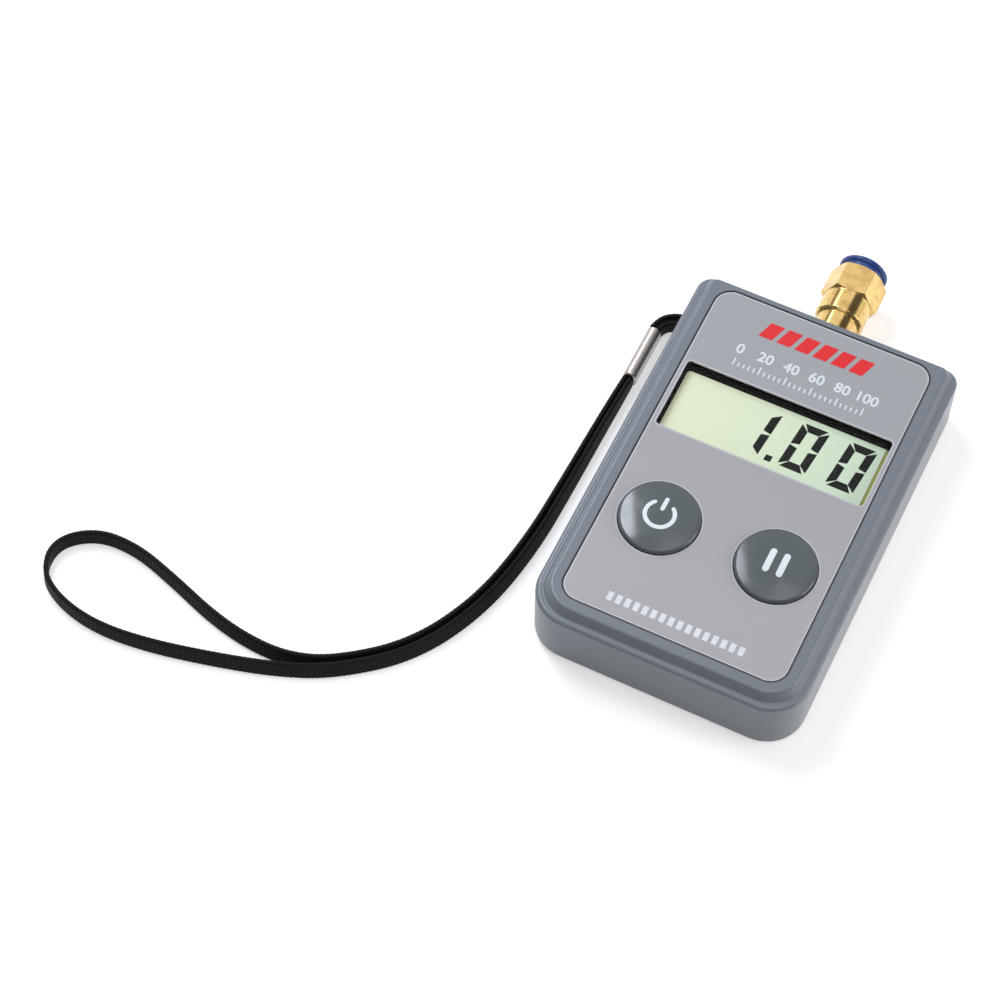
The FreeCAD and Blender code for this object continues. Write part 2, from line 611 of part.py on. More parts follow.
def lcd_cell():
    """Two glass plates with films, the front plate overhanging at the lower edge for its contacts."""
    film_z = LCD_TOP_Z - FILM_THICKNESS
    seal_z = film_z - GLASS_THICKNESS
    back_z = seal_z - GLASS_THICKNESS
    film = block(-WINDOW_WIDTH / 2 - GLASS_MARGIN / 2, WINDOW_WIDTH / 2 - FILM_SIDE_MARGIN,
                 WINDOW_LOW_Y - GLASS_MARGIN / 2, WINDOW_HIGH_Y + GLASS_MARGIN / 2, film_z, LCD_TOP_Z)
    front = glass(CONTACT_LEDGE, GLASS_MARGIN, seal_z, film_z)
    back = glass(0, GLASS_MARGIN, back_z, seal_z)
    reflector = glass(0, 0, back_z - FILM_THICKNESS, back_z)
    return fuse(front, [film, back, reflector])


def lcd_holder():
    """Frame that stands on the board and carries the display cell at its edges."""
    half_x = WINDOW_WIDTH / 2 + GLASS_MARGIN + HOLDER_FIT
    low_y = WINDOW_LOW_Y - CONTACT_LEDGE - HOLDER_FIT
    high_y = WINDOW_HIGH_Y + GLASS_MARGIN + HOLDER_FIT
    cell_low_z = LCD_TOP_Z - 2 * FILM_THICKNESS - 2 * GLASS_THICKNESS
    frame = block(-half_x - HOLDER_WALL / 2, half_x + HOLDER_WALL / 2, low_y - HOLDER_WALL,
                  high_y + HOLDER_WALL, BOARD_TOP_Z, LCD_TOP_Z)
    pocket = block(-half_x, half_x, low_y, high_y, cell_low_z, CASE_THICKNESS)
    light_well = block(-half_x + HOLDER_WALL, half_x - HOLDER_WALL, low_y, high_y - HOLDER_WALL,
                       0, CASE_THICKNESS)
    return frame.cut([pocket, light_well])


def zebra_strip():
    seal_z = LCD_TOP_Z - FILM_THICKNESS - GLASS_THICKNESS
    low_y = WINDOW_LOW_Y - CONTACT_LEDGE
    half_x = WINDOW_WIDTH / 2 + GLASS_MARGIN - ZEBRA_END_MARGIN
    return block(-half_x, half_x, low_y, low_y + ZEBRA_WIDTH, BOARD_TOP_Z, seal_z)


# Keys and switches

def key_profile(x):
    """Half section of a key: hollow cap, flange, stem, rounded rim and spherical crown."""
    edge_z = PANEL_FLOOR_Z + PANEL_THICKNESS + KEY_STAND
    under_z = edge_z - KEY_SKIN
    crown_r = (KEY_RADIUS ** 2 + KEY_CROWN ** 2) / (2 * KEY_CROWN)
    crown_z = edge_z + KEY_CROWN - crown_r
    rim_out = KEY_RADIUS - KEY_RIM_R
    rim_z = crown_z + math.sqrt((crown_r - KEY_RIM_R) ** 2 - rim_out ** 2)
    lean = math.atan2(rim_out, rim_z - crown_z)
    half_turn = (math.pi / 2 - lean) / 2

    def place(radius, z):
        return vec(x + radius, KEY_Y, z)

    def on_crown(angle):
        return place(crown_r * math.sin(angle), crown_z + crown_r * math.cos(angle))

    def on_rim(angle):
        return place(rim_out + KEY_RIM_R * math.cos(angle), rim_z + KEY_RIM_R * math.sin(angle))

    corners = [
        place(0, edge_z + KEY_CROWN), place(0, PLUNGER_TOP_Z), place(KEY_STEM_R, PLUNGER_TOP_Z),
        place(KEY_STEM_R, under_z), place(KEY_RADIUS - KEY_SKIN, under_z),
        place(KEY_RADIUS - KEY_SKIN, FLANGE_LOW_Z), place(KEY_RADIUS + KEY_FLANGE, FLANGE_LOW_Z),
        place(KEY_RADIUS + KEY_FLANGE, FLANGE_TOP_Z), place(KEY_RADIUS, FLANGE_TOP_Z), on_rim(0),
    ]
    edges = [Part.makeLine(first, second) for first, second in zip(corners, corners[1:])]
    edges.append(Part.Arc(on_rim(0), on_rim(half_turn), on_rim(2 * half_turn)).toShape())
    edges.append(Part.Arc(on_crown(lean), on_crown(lean / 2), on_crown(0)).toShape())
    return Part.Face(Part.Wire(edges))


def key(side):
    """Domed cap turned about its own axis, with a tab that keeps it upright."""
    x = side * KEY_SPACING / 2
    cap = key_profile(x).revolve(vec(x, KEY_Y, 0), vec(0, 0, 1), 360)
    tab = block(x - KEY_TAB_WIDTH / 2, x + KEY_TAB_WIDTH / 2, KEY_Y + KEY_RADIUS,
                KEY_Y + KEY_RADIUS + KEY_FLANGE + KEY_TAB_REACH, FLANGE_LOW_Z, FLANGE_TOP_Z)
    return fuse(cap, [tab])


def switch(side):
    x = side * KEY_SPACING / 2
    top_z = BOARD_TOP_Z + SWITCH_HEIGHT
    body = block(x - SWITCH_SIDE / 2, x + SWITCH_SIDE / 2, KEY_Y - SWITCH_SIDE / 2, KEY_Y + SWITCH_SIDE / 2,
                 BOARD_TOP_Z, top_z)
    well_z = top_z - PLUNGER_SINK - KEY_TRAVEL - PLUNGER_FLOOR_GAP
    return body.cut(upright(x, KEY_Y, well_z, top_z + 1, PLUNGER_R + PLUNGER_RUN_GAP))


def plunger(side):
    top_z = BOARD_TOP_Z + SWITCH_HEIGHT
    return upright(side * KEY_SPACING / 2, KEY_Y, top_z - PLUNGER_SINK, PLUNGER_TOP_Z, PLUNGER_R)


# Circuit board

def circuit_board():
    half = BOARD_WIDTH / 2
    tail = BOARD_TAIL_WIDTH / 2
    board = block(-half, half, BOARD_WAIST_Y, BOARD_HIGH_Y, BOARD_LOW_Z, BOARD_TOP_Z)
    board = fuse(board, [block(-tail, tail, BOARD_LOW_Y, BOARD_WAIST_Y, BOARD_LOW_Z, BOARD_TOP_Z)])
    cuts = [block(-SENSOR_WIDTH / 2 - SENSOR_FIT, SENSOR_WIDTH / 2 + SENSOR_FIT, SENSOR_LOW_Y - SENSOR_FIT,
                  BOARD_HIGH_Y + 1, 0, CASE_THICKNESS)]
    for x, y in mirrored_pairs(BOARD_POSTS):
        cuts.append(upright(x, y, 0, CASE_THICKNESS, BOARD_SCREW_R + SEAM_GAP))
    return board.cut(cuts)


def board_screws():
    screws = []
    for x, y in mirrored_pairs(BOARD_POSTS):
        head = upright(x, y, BOARD_LOW_Z - BOARD_SCREW_HEAD, BOARD_LOW_Z, BOARD_SCREW_HEAD_R)
        shank = upright(x, y, BOARD_LOW_Z, BOARD_LOW_Z + BOARD_SCREW_LENGTH, BOARD_SCREW_R)
        screws.append(fuse(head, [shank]))
    return Part.makeCompound(screws)


def control_chip():
    return block(-CHIP_SIDE / 2, CHIP_SIDE / 2, CHIP_Y - CHIP_SIDE / 2, CHIP_Y + CHIP_SIDE / 2,
                 BOARD_LOW_Z - CHIP_HEIGHT, BOARD_LOW_Z)


def clock_crystal():
    can = Part.makeCylinder(CRYSTAL_R, CRYSTAL_LENGTH, vec(-CRYSTAL_LENGTH / 2, CRYSTAL_Y,
                                                         BOARD_LOW_Z - CRYSTAL_R), vec(1, 0, 0))
    return can


def smoothing_capacitor():
    return upright(CAPACITOR_X, CAPACITOR_Y, BOARD_LOW_Z - CAPACITOR_HEIGHT, BOARD_LOW_Z, CAPACITOR_R)


def pressure_sensor():
    high_y = SENSOR_LOW_Y + SENSOR_LENGTH
    body = block(-SENSOR_WIDTH / 2, SENSOR_WIDTH / 2, SENSOR_LOW_Y, high_y, MID_Z - SENSOR_HEIGHT / 2,
                 MID_Z + SENSOR_HEIGHT / 2)
    extras = [sleeve(0, NIPPLE_R, high_y - 1, high_y + NIPPLE_LENGTH)]
    lead_x = SENSOR_WIDTH / 2 + SENSOR_LEAD_REACH
    for place in SENSOR_LEAD_PLACES:
        y = SENSOR_LOW_Y + place
        extras.append(block(-lead_x, lead_x, y - SENSOR_LEAD_WIDTH / 2, y + SENSOR_LEAD_WIDTH / 2,
                            BOARD_TOP_Z, BOARD_TOP_Z + SENSOR_LEAD_THICKNESS))
    return fuse(body, extras).cut(sleeve(0, NIPPLE_BORE_R, high_y - 2, high_y + NIPPLE_LENGTH + 1))


def sensor_tube():
    low_y = SENSOR_LOW_Y + SENSOR_LENGTH + SENSOR_TUBE_END_GAP
    high_y = HIGH_END - STEM_INSIDE - SENSOR_TUBE_END_GAP
    return sleeve(NIPPLE_R, NIPPLE_R + SENSOR_TUBE_WALL, low_y, high_y)


# Push-in fitting

def fitting_body():
    base = HIGH_END
    barb_y = base - STEM_INSIDE - BARB_LENGTH
    outside = turned((
        (0, barb_y), (NIPPLE_R, barb_y), (NIPPLE_R, base - STEM_INSIDE), (FITTING_STEM_R, base - STEM_INSIDE),
        (FITTING_STEM_R, base + WALL_SEAL_THICKNESS), (NECK_R, base + WALL_SEAL_THICKNESS),
        (NECK_R, base + NECK_END), (BARREL_R - BARREL_CHAMFER, base + NECK_END),
        (BARREL_R, base + NECK_END + BARREL_CHAMFER), (BARREL_R, base + BARREL_END), (0, base + BARREL_END),
    ))
    corner_r = HEX_FLATS / math.sqrt(3)
    rise = HEX_CHAMFER / math.sqrt(3)
    nut = hexagon(HEX_FLATS, base + BARREL_END, base + HEX_END).common(turned((
        (0, base + BARREL_END), (corner_r - HEX_CHAMFER, base + BARREL_END),
        (corner_r, base + BARREL_END + rise), (corner_r, base + HEX_END - rise),
        (corner_r - HEX_CHAMFER, base + HEX_END), (0, base + HEX_END),
    )))
    mouth = base + HEX_END
    bore = turned((
        (0, mouth + 1), (MOUTH_R, mouth + 1), (MOUTH_R, mouth - MOUTH_DEPTH), (SOCKET_R, mouth - MOUTH_DEPTH),
        (SOCKET_R, mouth - SOCKET_DEPTH), (TUBE_R + TUBE_GAP, mouth - SOCKET_DEPTH),
        (TUBE_R + TUBE_GAP, mouth - TUBE_STOP_DEPTH), (THROUGH_BORE_R, mouth - TUBE_STOP_DEPTH),
        (THROUGH_BORE_R, base - STEM_INSIDE + 1), (NIPPLE_BORE_R, base - STEM_INSIDE + 1),
        (NIPPLE_BORE_R, barb_y - 1), (0, barb_y - 1),
    ))
    return fuse(outside, [nut]).cut(bore)


def fitting_nut():
    nut = hexagon(NUT_FLATS, INNER_END_Y - NUT_THICKNESS, INNER_END_Y)
    return nut.cut(sleeve(0, FITTING_STEM_R, INNER_END_Y - NUT_THICKNESS - 1, INNER_END_Y + 1))


def wall_seal():
    return sleeve(FITTING_STEM_R, WALL_SEAL_R, HIGH_END, HIGH_END + WALL_SEAL_THICKNESS)


def tube_seal():
    floor = HIGH_END + HEX_END - SOCKET_DEPTH
    return sleeve(TUBE_R + TUBE_GAP, SOCKET_R - SOCKET_FIT, floor, floor + TUBE_SEAL_THICKNESS)


def grip_collet():
    """Slit steel ring whose teeth lean into the tube."""
    low = HIGH_END + HEX_END - SOCKET_DEPTH + TUBE_SEAL_THICKNESS
    high = low + COLLET_THICKNESS
    inner = TUBE_R + 2 * TUBE_GAP
    outer = SOCKET_R - SOCKET_FIT
    ring = turned(((inner, low), (inner + COLLET_SHEET, low), (outer, high - COLLET_SHEET), (outer, high),
                   (outer - COLLET_SHEET, high), (inner, low + COLLET_SHEET)))
    slits = []
    for index in range(COLLET_SLITS):
        slit = block(0, outer - 2 * COLLET_SHEET, low - 1, high + 1, MID_Z - COLLET_SLIT_WIDTH / 2,
                     MID_Z + COLLET_SLIT_WIDTH / 2)
        slit.rotate(vec(0, 0, MID_Z), vec(0, 1, 0), 360 * index / COLLET_SLITS)
        slits.append(slit)
    return ring.cut(slits)


def guide_ring():
    low = HIGH_END + HEX_END - SOCKET_DEPTH + TUBE_SEAL_THICKNESS + COLLET_THICKNESS
    return sleeve(RING_SLEEVE_R + SEAM_GAP, SOCKET_R - SOCKET_FIT, low, low + GUIDE_THICKNESS)


def release_ring():
    mouth = HIGH_END + HEX_END
    lip = mouth + RING_NECK_OUTSIDE
    face = lip + RING_LIP_THICKNESS
    bore = TUBE_R + RING_BORE_GAP
    return turned((
        (bore, mouth - RING_SLEEVE_INSIDE), (RING_SLEEVE_R, mouth - RING_SLEEVE_INSIDE),
        (RING_SLEEVE_R, mouth - RING_NECK_INSIDE), (RING_NECK_R, mouth - RING_NECK_INSIDE),
        (RING_NECK_R, lip), (RING_LIP_R - RING_LIP_ROUND, lip), (RING_LIP_R, lip + RING_LIP_ROUND),
        (RING_LIP_R, face - RING_LIP_ROUND), (RING_LIP_R - RING_LIP_ROUND, face),
        (bore + RING_MOUTH_FLARE, face), (bore, face - RING_MOUTH_FLARE),
    ))


# Cells and contacts

def battery_cell(side):
    """Dry cell lying across the case, its nub towards +X or -X."""
    y = BAY_CENTRE_Y + side * CELL_PITCH / 2
    can_end = CELL_HALF - CELL_NUB
    profile = (
        (-CELL_HALF, 0), (-CELL_HALF, CELL_R - CELL_EDGE), (-CELL_HALF + CELL_EDGE, CELL_R),
        (can_end - CELL_EDGE, CELL_R), (can_end, CELL_R - CELL_EDGE), (can_end, CELL_NUB_R),
        (CELL_HALF, CELL_NUB_R), (CELL_HALF, 0),
    )
    points = [vec(side * x, y + radius, CELL_Z) for x, radius in profile]
    face = Part.Face(Part.makePolygon(points + points[:1]))
    return face.revolve(vec(0, y, CELL_Z), vec(1, 0, 0), 360)


def contact_plate(side, y0, y1):
    wall_x = BAY_LENGTH_X / 2
    x0, x1 = sorted((side * (wall_x - CONTACT_SHEET), side * wall_x))
    return block(x0, x1, y0, y1, CELL_Z - CONTACT_HEIGHT / 2, CELL_Z + CONTACT_HEIGHT / 2)


def leaf_spring(side, y):
    """Bowed strip that presses on the flat end of a cell."""
    plate_x = BAY_LENGTH_X / 2 - CONTACT_SHEET
    top = vec(side * CELL_HALF, y, CELL_Z - LEAF_HEIGHT / 2)
    inner_top = vec(side * (CELL_HALF + CONTACT_SHEET), y, top.z)
    feet = [vec(side * plate_x, y + step * LEAF_HALF_SPAN, top.z) for step in (-1, 1)]
    inner_feet = [vec(side * plate_x, y + step * (LEAF_HALF_SPAN - CONTACT_SHEET * 2), top.z) for step in (-1, 1)]
    wire = Part.Wire([
        Part.Arc(feet[0], top, feet[1]).toShape(), Part.makeLine(feet[1], inner_feet[1]),
        Part.Arc(inner_feet[1], inner_top, inner_feet[0]).toShape(), Part.makeLine(inner_feet[0], feet[0]),
    ])
    return Part.Face(wire).extrude(vec(0, 0, LEAF_HEIGHT))


def contact_bump(side, y):
    gap = BAY_LENGTH_X / 2 - CONTACT_SHEET - CELL_HALF
    start = side * (BAY_LENGTH_X / 2 - CONTACT_SHEET)
    return Part.makeCylinder(BUMP_R, gap, vec(start, y, CELL_Z), vec(-side, 0, 0))


def contact_link():
    """One strip at the right end that joins the first cell's nub to the second cell's flat end."""
    y_first = BAY_CENTRE_Y + CELL_PITCH / 2
    y_second = BAY_CENTRE_Y - CELL_PITCH / 2
    plate = contact_plate(1, y_second - CONTACT_WIDTH / 2, y_first + CONTACT_WIDTH / 2)
    return fuse(plate, [contact_bump(1, y_first), leaf_spring(1, y_second)])


def contact_positive():
    y = BAY_CENTRE_Y - CELL_PITCH / 2
    return fuse(contact_plate(-1, y - CONTACT_WIDTH / 2, y + CONTACT_WIDTH / 2), [contact_bump(-1, y)])


def contact_negative():
    y = BAY_CENTRE_Y + CELL_PITCH / 2
    return fuse(contact_plate(-1, y - CONTACT_WIDTH / 2, y + CONTACT_WIDTH / 2), [leaf_spring(-1, y)])


# Strap

def strap_pin():
    return upright(PIN_X, PIN_Y, PIN_LOW_Z, PIN_HIGH_Z, PIN_R)


def strap_ferrule(strands):
    """Flattened steel tube crimped over the strap's strands, which sit against its ends."""
    half_round = FERRULE_THICKNESS / 2
    low = vec(FERRULE_X, FERRULE_LOW_Y, half_round)
    straight = FERRULE_HEIGHT - FERRULE_THICKNESS
    ends = []
    for z in (half_round, half_round + straight):
        ends.append(Part.makeCylinder(half_round, FERRULE_LENGTH, vec(low.x, low.y, z), vec(0, 1, 0)))
    middle = block(low.x - half_round, low.x + half_round, low.y, low.y + FERRULE_LENGTH,
                   half_round, half_round + straight)
    ferrule = fuse(ends[0], [ends[1], middle])
    rims = []
    for edge in ferrule.Edges:
        box = edge.BoundBox
        if box.YLength < 1e-4:
            rims.append(edge)
    return ferrule.makeFillet(FERRULE_END_R, rims).cut(strands)


def band(path, thickness, z0, z1):
    """Upright band of one thickness along plan segments, each a straight run or an arc."""
    pieces = []
    for segment in path:
        if segment[0] == "run":
            start, end = segment[1], segment[2]
            along = end - start
            across = vec(-along.y, along.x, 0)
            across.multiply(thickness / 2 / along.Length)
            corners = [start + across, end + across, end - across, start - across]
            face = Part.Face(Part.makePolygon(corners + corners[:1]))
        else:
            centre, radius, angle0, angle1 = segment[1:]
            rims = [Part.makeCircle(radius + step * thickness / 2, centre, vec(0, 0, 1), angle0, angle1)
                    for step in (-1, 1)]
            closers = [Part.makeLine(rims[0].Vertexes[end].Point, rims[1].Vertexes[end].Point) for end in (0, -1)]
            face = Part.Face(Part.Wire(Part.sortEdges(rims + closers)[0]))
        pieces.append(face.extrude(vec(0, 0, z1 - z0)))
    joined = pieces[0].fuse(pieces[1:])
    joined = joined.removeSplitter()
    joined.translate(vec(0, 0, z0))
    return joined


def smooth_path(points):
    """Straight runs joined by tangent arcs of 0.45 of the shorter run over the tangent of half the turn."""
    corners = [vec(x, y, 0) for x, y in points]
    path = []
    radii = []
    start = corners[0]
    for before, corner, after in zip(corners, corners[1:], corners[2:]):
        way_in = corner - before
        way_out = after - corner
        turn = way_in.getAngle(way_out)
        cut = 0.45 * min(way_in.Length, way_out.Length)
        radius = cut / math.tan(turn / 2)
        way_in.normalize()
        way_out.normalize()
        arc_start = corner - way_in * cut
        arc_end = corner + way_out * cut
        left = way_in.cross(way_out).z > 0
        side = vec(-way_in.y, way_in.x, 0) if left else vec(way_in.y, -way_in.x, 0)
        centre = arc_start + side * radius
        angles = [math.degrees(math.atan2(point.y - centre.y, point.x - centre.x))
                  for point in ((arc_start, arc_end) if left else (arc_end, arc_start))]
        if angles[1] < angles[0]:
            angles[1] += 360
        path.append(("run", start, arc_start))
        path.append(("arc", centre, radius, angles[0], angles[1]))
        radii.append(radius)
        start = arc_end
    path.append(("run", start, corners[-1]))
    return path, radii


def path_length(path):
    total = 0
    for segment in path:
        if segment[0] == "run":
            total += (segment[2] - segment[1]).Length
        else:
            total += segment[2] * math.radians(segment[4] - segment[3])
    return total


def hand_strap():
    path, radii = smooth_path(STRAP_ROUTE)
    strap = band(path, STRAP_THICKNESS, 0, STRAP_WIDTH)
    length = path_length(path)
    print("strap radii", [round(radius, 1) for radius in radii])
    print("strap length", round(length, 1), "volume", round(strap.Volume, 1),
          "section by length", round(length * STRAP_THICKNESS * STRAP_WIDTH, 1))
    return strap


def anchor_loop():
    """The strap's short end: it leaves the ferrule, closes round the pin and comes back."""
    path, radii = smooth_path(ANCHOR_ROUTE)
    loop = band(path, STRAP_THICKNESS, LOOP_LOW_Z, LOOP_LOW_Z + LOOP_BAND_WIDTH)
    print("anchor radii", [round(radius, 1) for radius in radii], "length", round(path_length(path), 1))
    return loop


os.makedirs("parts", exist_ok=True)
save("front_shell", front_shell())
save("rear_shell", rear_shell())
save("battery_cover", battery_cover())
save("case_screws", case_screws())
save("face_panel", face_panel())
save("display_bezel", display_bezel())
save("display_window", display_window())
save("lcd_cell", lcd_cell())
save("lcd_holder", lcd_holder())
save("zebra_strip", zebra_strip())
for key_name, key_side in (("power", -1), ("hold", 1)):
    save(key_name + "_key", key(key_side))
    save(key_name + "_switch", switch(key_side))
    save(key_name + "_plunger", plunger(key_side))
save("circuit_board", circuit_board())
save("board_screws", board_screws())
save("control_chip", control_chip())
save("clock_crystal", clock_crystal())
save("smoothing_capacitor", smoothing_capacitor())
save("pressure_sensor", pressure_sensor())
save("sensor_tube", sensor_tube())
save("fitting_body", fitting_body())
save("fitting_nut", fitting_nut())
save("wall_seal", wall_seal())
save("tube_seal", tube_seal())
save("grip_collet", grip_collet())
save("guide_ring", guide_ring())
save("release_ring", release_ring())
save("battery_cell_1", battery_cell(1))
save("battery_cell_2", battery_cell(-1))
save("contact_link", contact_link())
save("contact_positive", contact_positive())
save("contact_negative", contact_negative())
save("strap_pin", strap_pin())
long_strand = hand_strap()
short_strand = anchor_loop()
save("hand_strap", long_strand)
save("anchor_loop", short_strand)
save("strap_ferrule", strap_ferrule([long_strand, short_strand]))
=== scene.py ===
"""Looks of a hand-held digital pressure gauge with a push-in tube fitting and a wrist strap.

X runs to the right as the face is read, Y along the case towards the fitting and Z out of the face.
Sizes in this file are millimetres, and MM turns them into the frame's metres.
"""
import json
import logging
import math
from dataclasses import dataclass, field
from enum import Enum
from typing import Callable, ClassVar, Optional, Sequence, Union

import bmesh
import bpy
import numpy as np
from mathutils import Matrix, Quaternion, Vector

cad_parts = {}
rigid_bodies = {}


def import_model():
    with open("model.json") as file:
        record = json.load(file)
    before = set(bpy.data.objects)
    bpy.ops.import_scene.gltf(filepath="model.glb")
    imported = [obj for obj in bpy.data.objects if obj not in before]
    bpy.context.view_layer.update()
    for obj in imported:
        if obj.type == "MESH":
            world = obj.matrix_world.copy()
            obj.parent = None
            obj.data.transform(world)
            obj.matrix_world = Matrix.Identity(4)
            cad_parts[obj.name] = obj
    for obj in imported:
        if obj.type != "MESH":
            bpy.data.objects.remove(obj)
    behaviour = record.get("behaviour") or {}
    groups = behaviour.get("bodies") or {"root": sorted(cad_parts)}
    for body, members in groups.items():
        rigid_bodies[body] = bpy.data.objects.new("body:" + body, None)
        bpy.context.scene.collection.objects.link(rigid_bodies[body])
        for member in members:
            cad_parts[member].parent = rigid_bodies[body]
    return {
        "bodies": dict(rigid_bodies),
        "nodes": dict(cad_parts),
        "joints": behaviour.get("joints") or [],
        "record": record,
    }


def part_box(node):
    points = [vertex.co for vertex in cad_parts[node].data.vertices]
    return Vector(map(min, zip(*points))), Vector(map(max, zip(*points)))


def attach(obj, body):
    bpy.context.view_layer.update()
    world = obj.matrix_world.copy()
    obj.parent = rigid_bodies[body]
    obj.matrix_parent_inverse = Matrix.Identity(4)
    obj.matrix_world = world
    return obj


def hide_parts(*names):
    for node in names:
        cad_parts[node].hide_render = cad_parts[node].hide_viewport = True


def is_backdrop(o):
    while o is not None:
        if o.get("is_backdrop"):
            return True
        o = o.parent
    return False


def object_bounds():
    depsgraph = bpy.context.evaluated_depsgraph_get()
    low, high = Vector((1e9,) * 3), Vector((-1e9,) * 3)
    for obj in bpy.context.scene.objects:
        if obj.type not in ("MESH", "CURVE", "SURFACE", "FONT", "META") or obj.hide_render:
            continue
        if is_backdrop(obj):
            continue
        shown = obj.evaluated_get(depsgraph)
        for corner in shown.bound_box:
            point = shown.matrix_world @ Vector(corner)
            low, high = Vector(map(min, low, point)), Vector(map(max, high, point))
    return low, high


MM = 0.001
PANEL_CORNER = 4.2
# Shares of the type's size: how far its strokes swell, and how near two points are joined.
TYPE_BOLDENING = 0.02
TYPE_WELD = 1e-4
LOG = logging.getLogger("pressure_gauge")
Colour = tuple[float, float, float]
WHITE: Colour = (255, 255, 255)
Socket = bpy.types.NodeSocket
Feed = Union[Socket, float, tuple]
Ground = Callable[[np.ndarray, np.ndarray], np.ndarray]


# Colours

def linear(colour: Colour, alpha: float = 1.0) -> tuple[float, float, float, float]:
    """Screen colour from 0 to 255 as the linear values that a shader takes.

    Args:
        colour: red, green and blue as they show on a screen.
        alpha: the fourth value.

    Returns:
        Four linear values: c/12.92 near black, and ((c + 0.055) / 1.055) to the power 2.4 above it.
    """
    share = np.asarray(colour, float) / 255.0
    straight = share / 12.92
    curved = ((share + 0.055) / 1.055) ** 2.4
    return (*np.where(share <= 0.04045, straight, curved).tolist(), alpha)


def toned(colour: Colour, factor: float) -> Colour:
    """The colour made lighter or darker by one factor."""
    return tuple(min(255.0, part * factor) for part in colour)


# Meshes

@dataclass
class Shell:
    """A closed surface: points in millimetres and four-sided faces as rows of point numbers."""

    points: np.ndarray
    faces: np.ndarray

    @classmethod
    def joined(cls, shells: Sequence["Shell"]) -> "Shell":
        """Several shells as one, with the faces of each renumbered."""
        starts = np.cumsum([0] + [len(shell.points) for shell in shells[:-1]])
        faces = [shell.faces + start for shell, start in zip(shells, starts)]
        return cls(np.concatenate([shell.points for shell in shells]), np.concatenate(faces))


def tube_faces(stations: int, corners: int) -> np.ndarray:
    """Faces between the stations of a tube, each of which has the same number of corners."""
    station, corner = np.meshgrid(np.arange(stations - 1), np.arange(corners), indexing="ij")
    here = station * corners
    there = here + corners
    after = (corner + 1) % corners
    return np.stack([here + corner, here + after, there + after, there + corner], axis=-1).reshape(-1, 4)


def end_faces(stations: int, corners: int) -> np.ndarray:
    """Both ends of such a tube, each a ladder of faces from one side of its section to the other."""
    rung = np.arange(corners // 2 - 1)
    ladder = np.stack([rung, rung + 1, corners - 2 - rung, corners - 1 - rung], axis=-1)
    return np.concatenate([ladder[:, ::-1], ladder + (stations - 1) * corners])


def raised_line(path: np.ndarray, half_width: np.ndarray, ground: Ground, sink: float, lift: float) -> Shell:
    """A line of print that follows a path over a surface.

    At each station the section is a rectangle: the path's point plus and minus half_width times the
    path's unit normal, from sink under the surface to lift over it.

    Args:
        path: points in plan, one row each.
        half_width: half the line's width at each point.
        ground: height of the surface over a point of the plan.
        sink: how far the print reaches into the surface.
        lift: how far it stands proud.

    Returns:
        The closed bar.
    """
    along = np.gradient(np.asarray(path, float), axis=0)
    along /= np.linalg.norm(along, axis=1, keepdims=True)
    across = np.stack([-along[:, 1], along[:, 0]], axis=1) * np.asarray(half_width)[:, None]
    right, left = path - across, path + across
    rows = []
    for side, rise in ((right, -sink), (left, -sink), (left, lift), (right, lift)):
        rows.append(np.column_stack([side, ground(side[:, 0], side[:, 1]) + rise]))
    points = np.stack(rows, axis=1).reshape(-1, 3)
    return Shell(points, np.concatenate([tube_faces(len(path), 4), end_faces(len(path), 4)]))


def raised_plate(corners: Sequence[tuple[float, float]], ground: float, sink: float, lift: float) -> Shell:
    """A four-cornered patch of print: the corners run anticlockwise and stand from sink to lift."""
    plan = np.asarray(corners, float)
    low = np.column_stack([plan, np.full(4, ground - sink)])
    high = np.column_stack([plan, np.full(4, ground + lift)])
    faces = np.concatenate([tube_faces(2, 4)[:, ::-1], [[3, 2, 1, 0], [4, 5, 6, 7]]])
    return Shell(np.concatenate([low, high]), faces)


def mesh_from(name: str, shell: Shell, uv: Optional[np.ndarray] = None,
              smooth: bool = False) -> bpy.types.Mesh:
    """Puts a shell into a mesh, in metres.

    Args:
        name: the mesh's name.
        shell: the surface.
        uv: one pair for each corner of each face.
        smooth: whether the faces shade smoothly.

    Returns:
        The new mesh.
    """
    mesh = bpy.data.meshes.new(name)
    mesh.vertices.add(len(shell.points))
    mesh.vertices.foreach_set("co", (shell.points * MM).astype(np.float32).ravel())
    mesh.loops.add(shell.faces.size)
    mesh.loops.foreach_set("vertex_index", shell.faces.astype(np.int32).ravel())
    mesh.polygons.add(len(shell.faces))
    mesh.polygons.foreach_set("loop_start", np.arange(0, shell.faces.size, 4, dtype=np.int32))
    mesh.polygons.foreach_set("use_smooth", np.full(len(shell.faces), smooth))
    if uv is not None:
        mesh.uv_layers.new(name="UVMap").data.foreach_set("uv", uv.astype(np.float32).ravel())
    mesh.update(calc_edges=True)
    return mesh


def flattened(curve: bpy.types.Curve) -> bpy.types.Mesh:
    """A curve or a line of type as a mesh. The curve itself is removed."""
    holder = bpy.data.objects.new(curve.name, curve)
    bpy.context.scene.collection.objects.link(holder)
    mesh = bpy.data.meshes.new_from_object(holder)
    bpy.data.objects.remove(holder)
    bpy.data.curves.remove(curve)
    return mesh


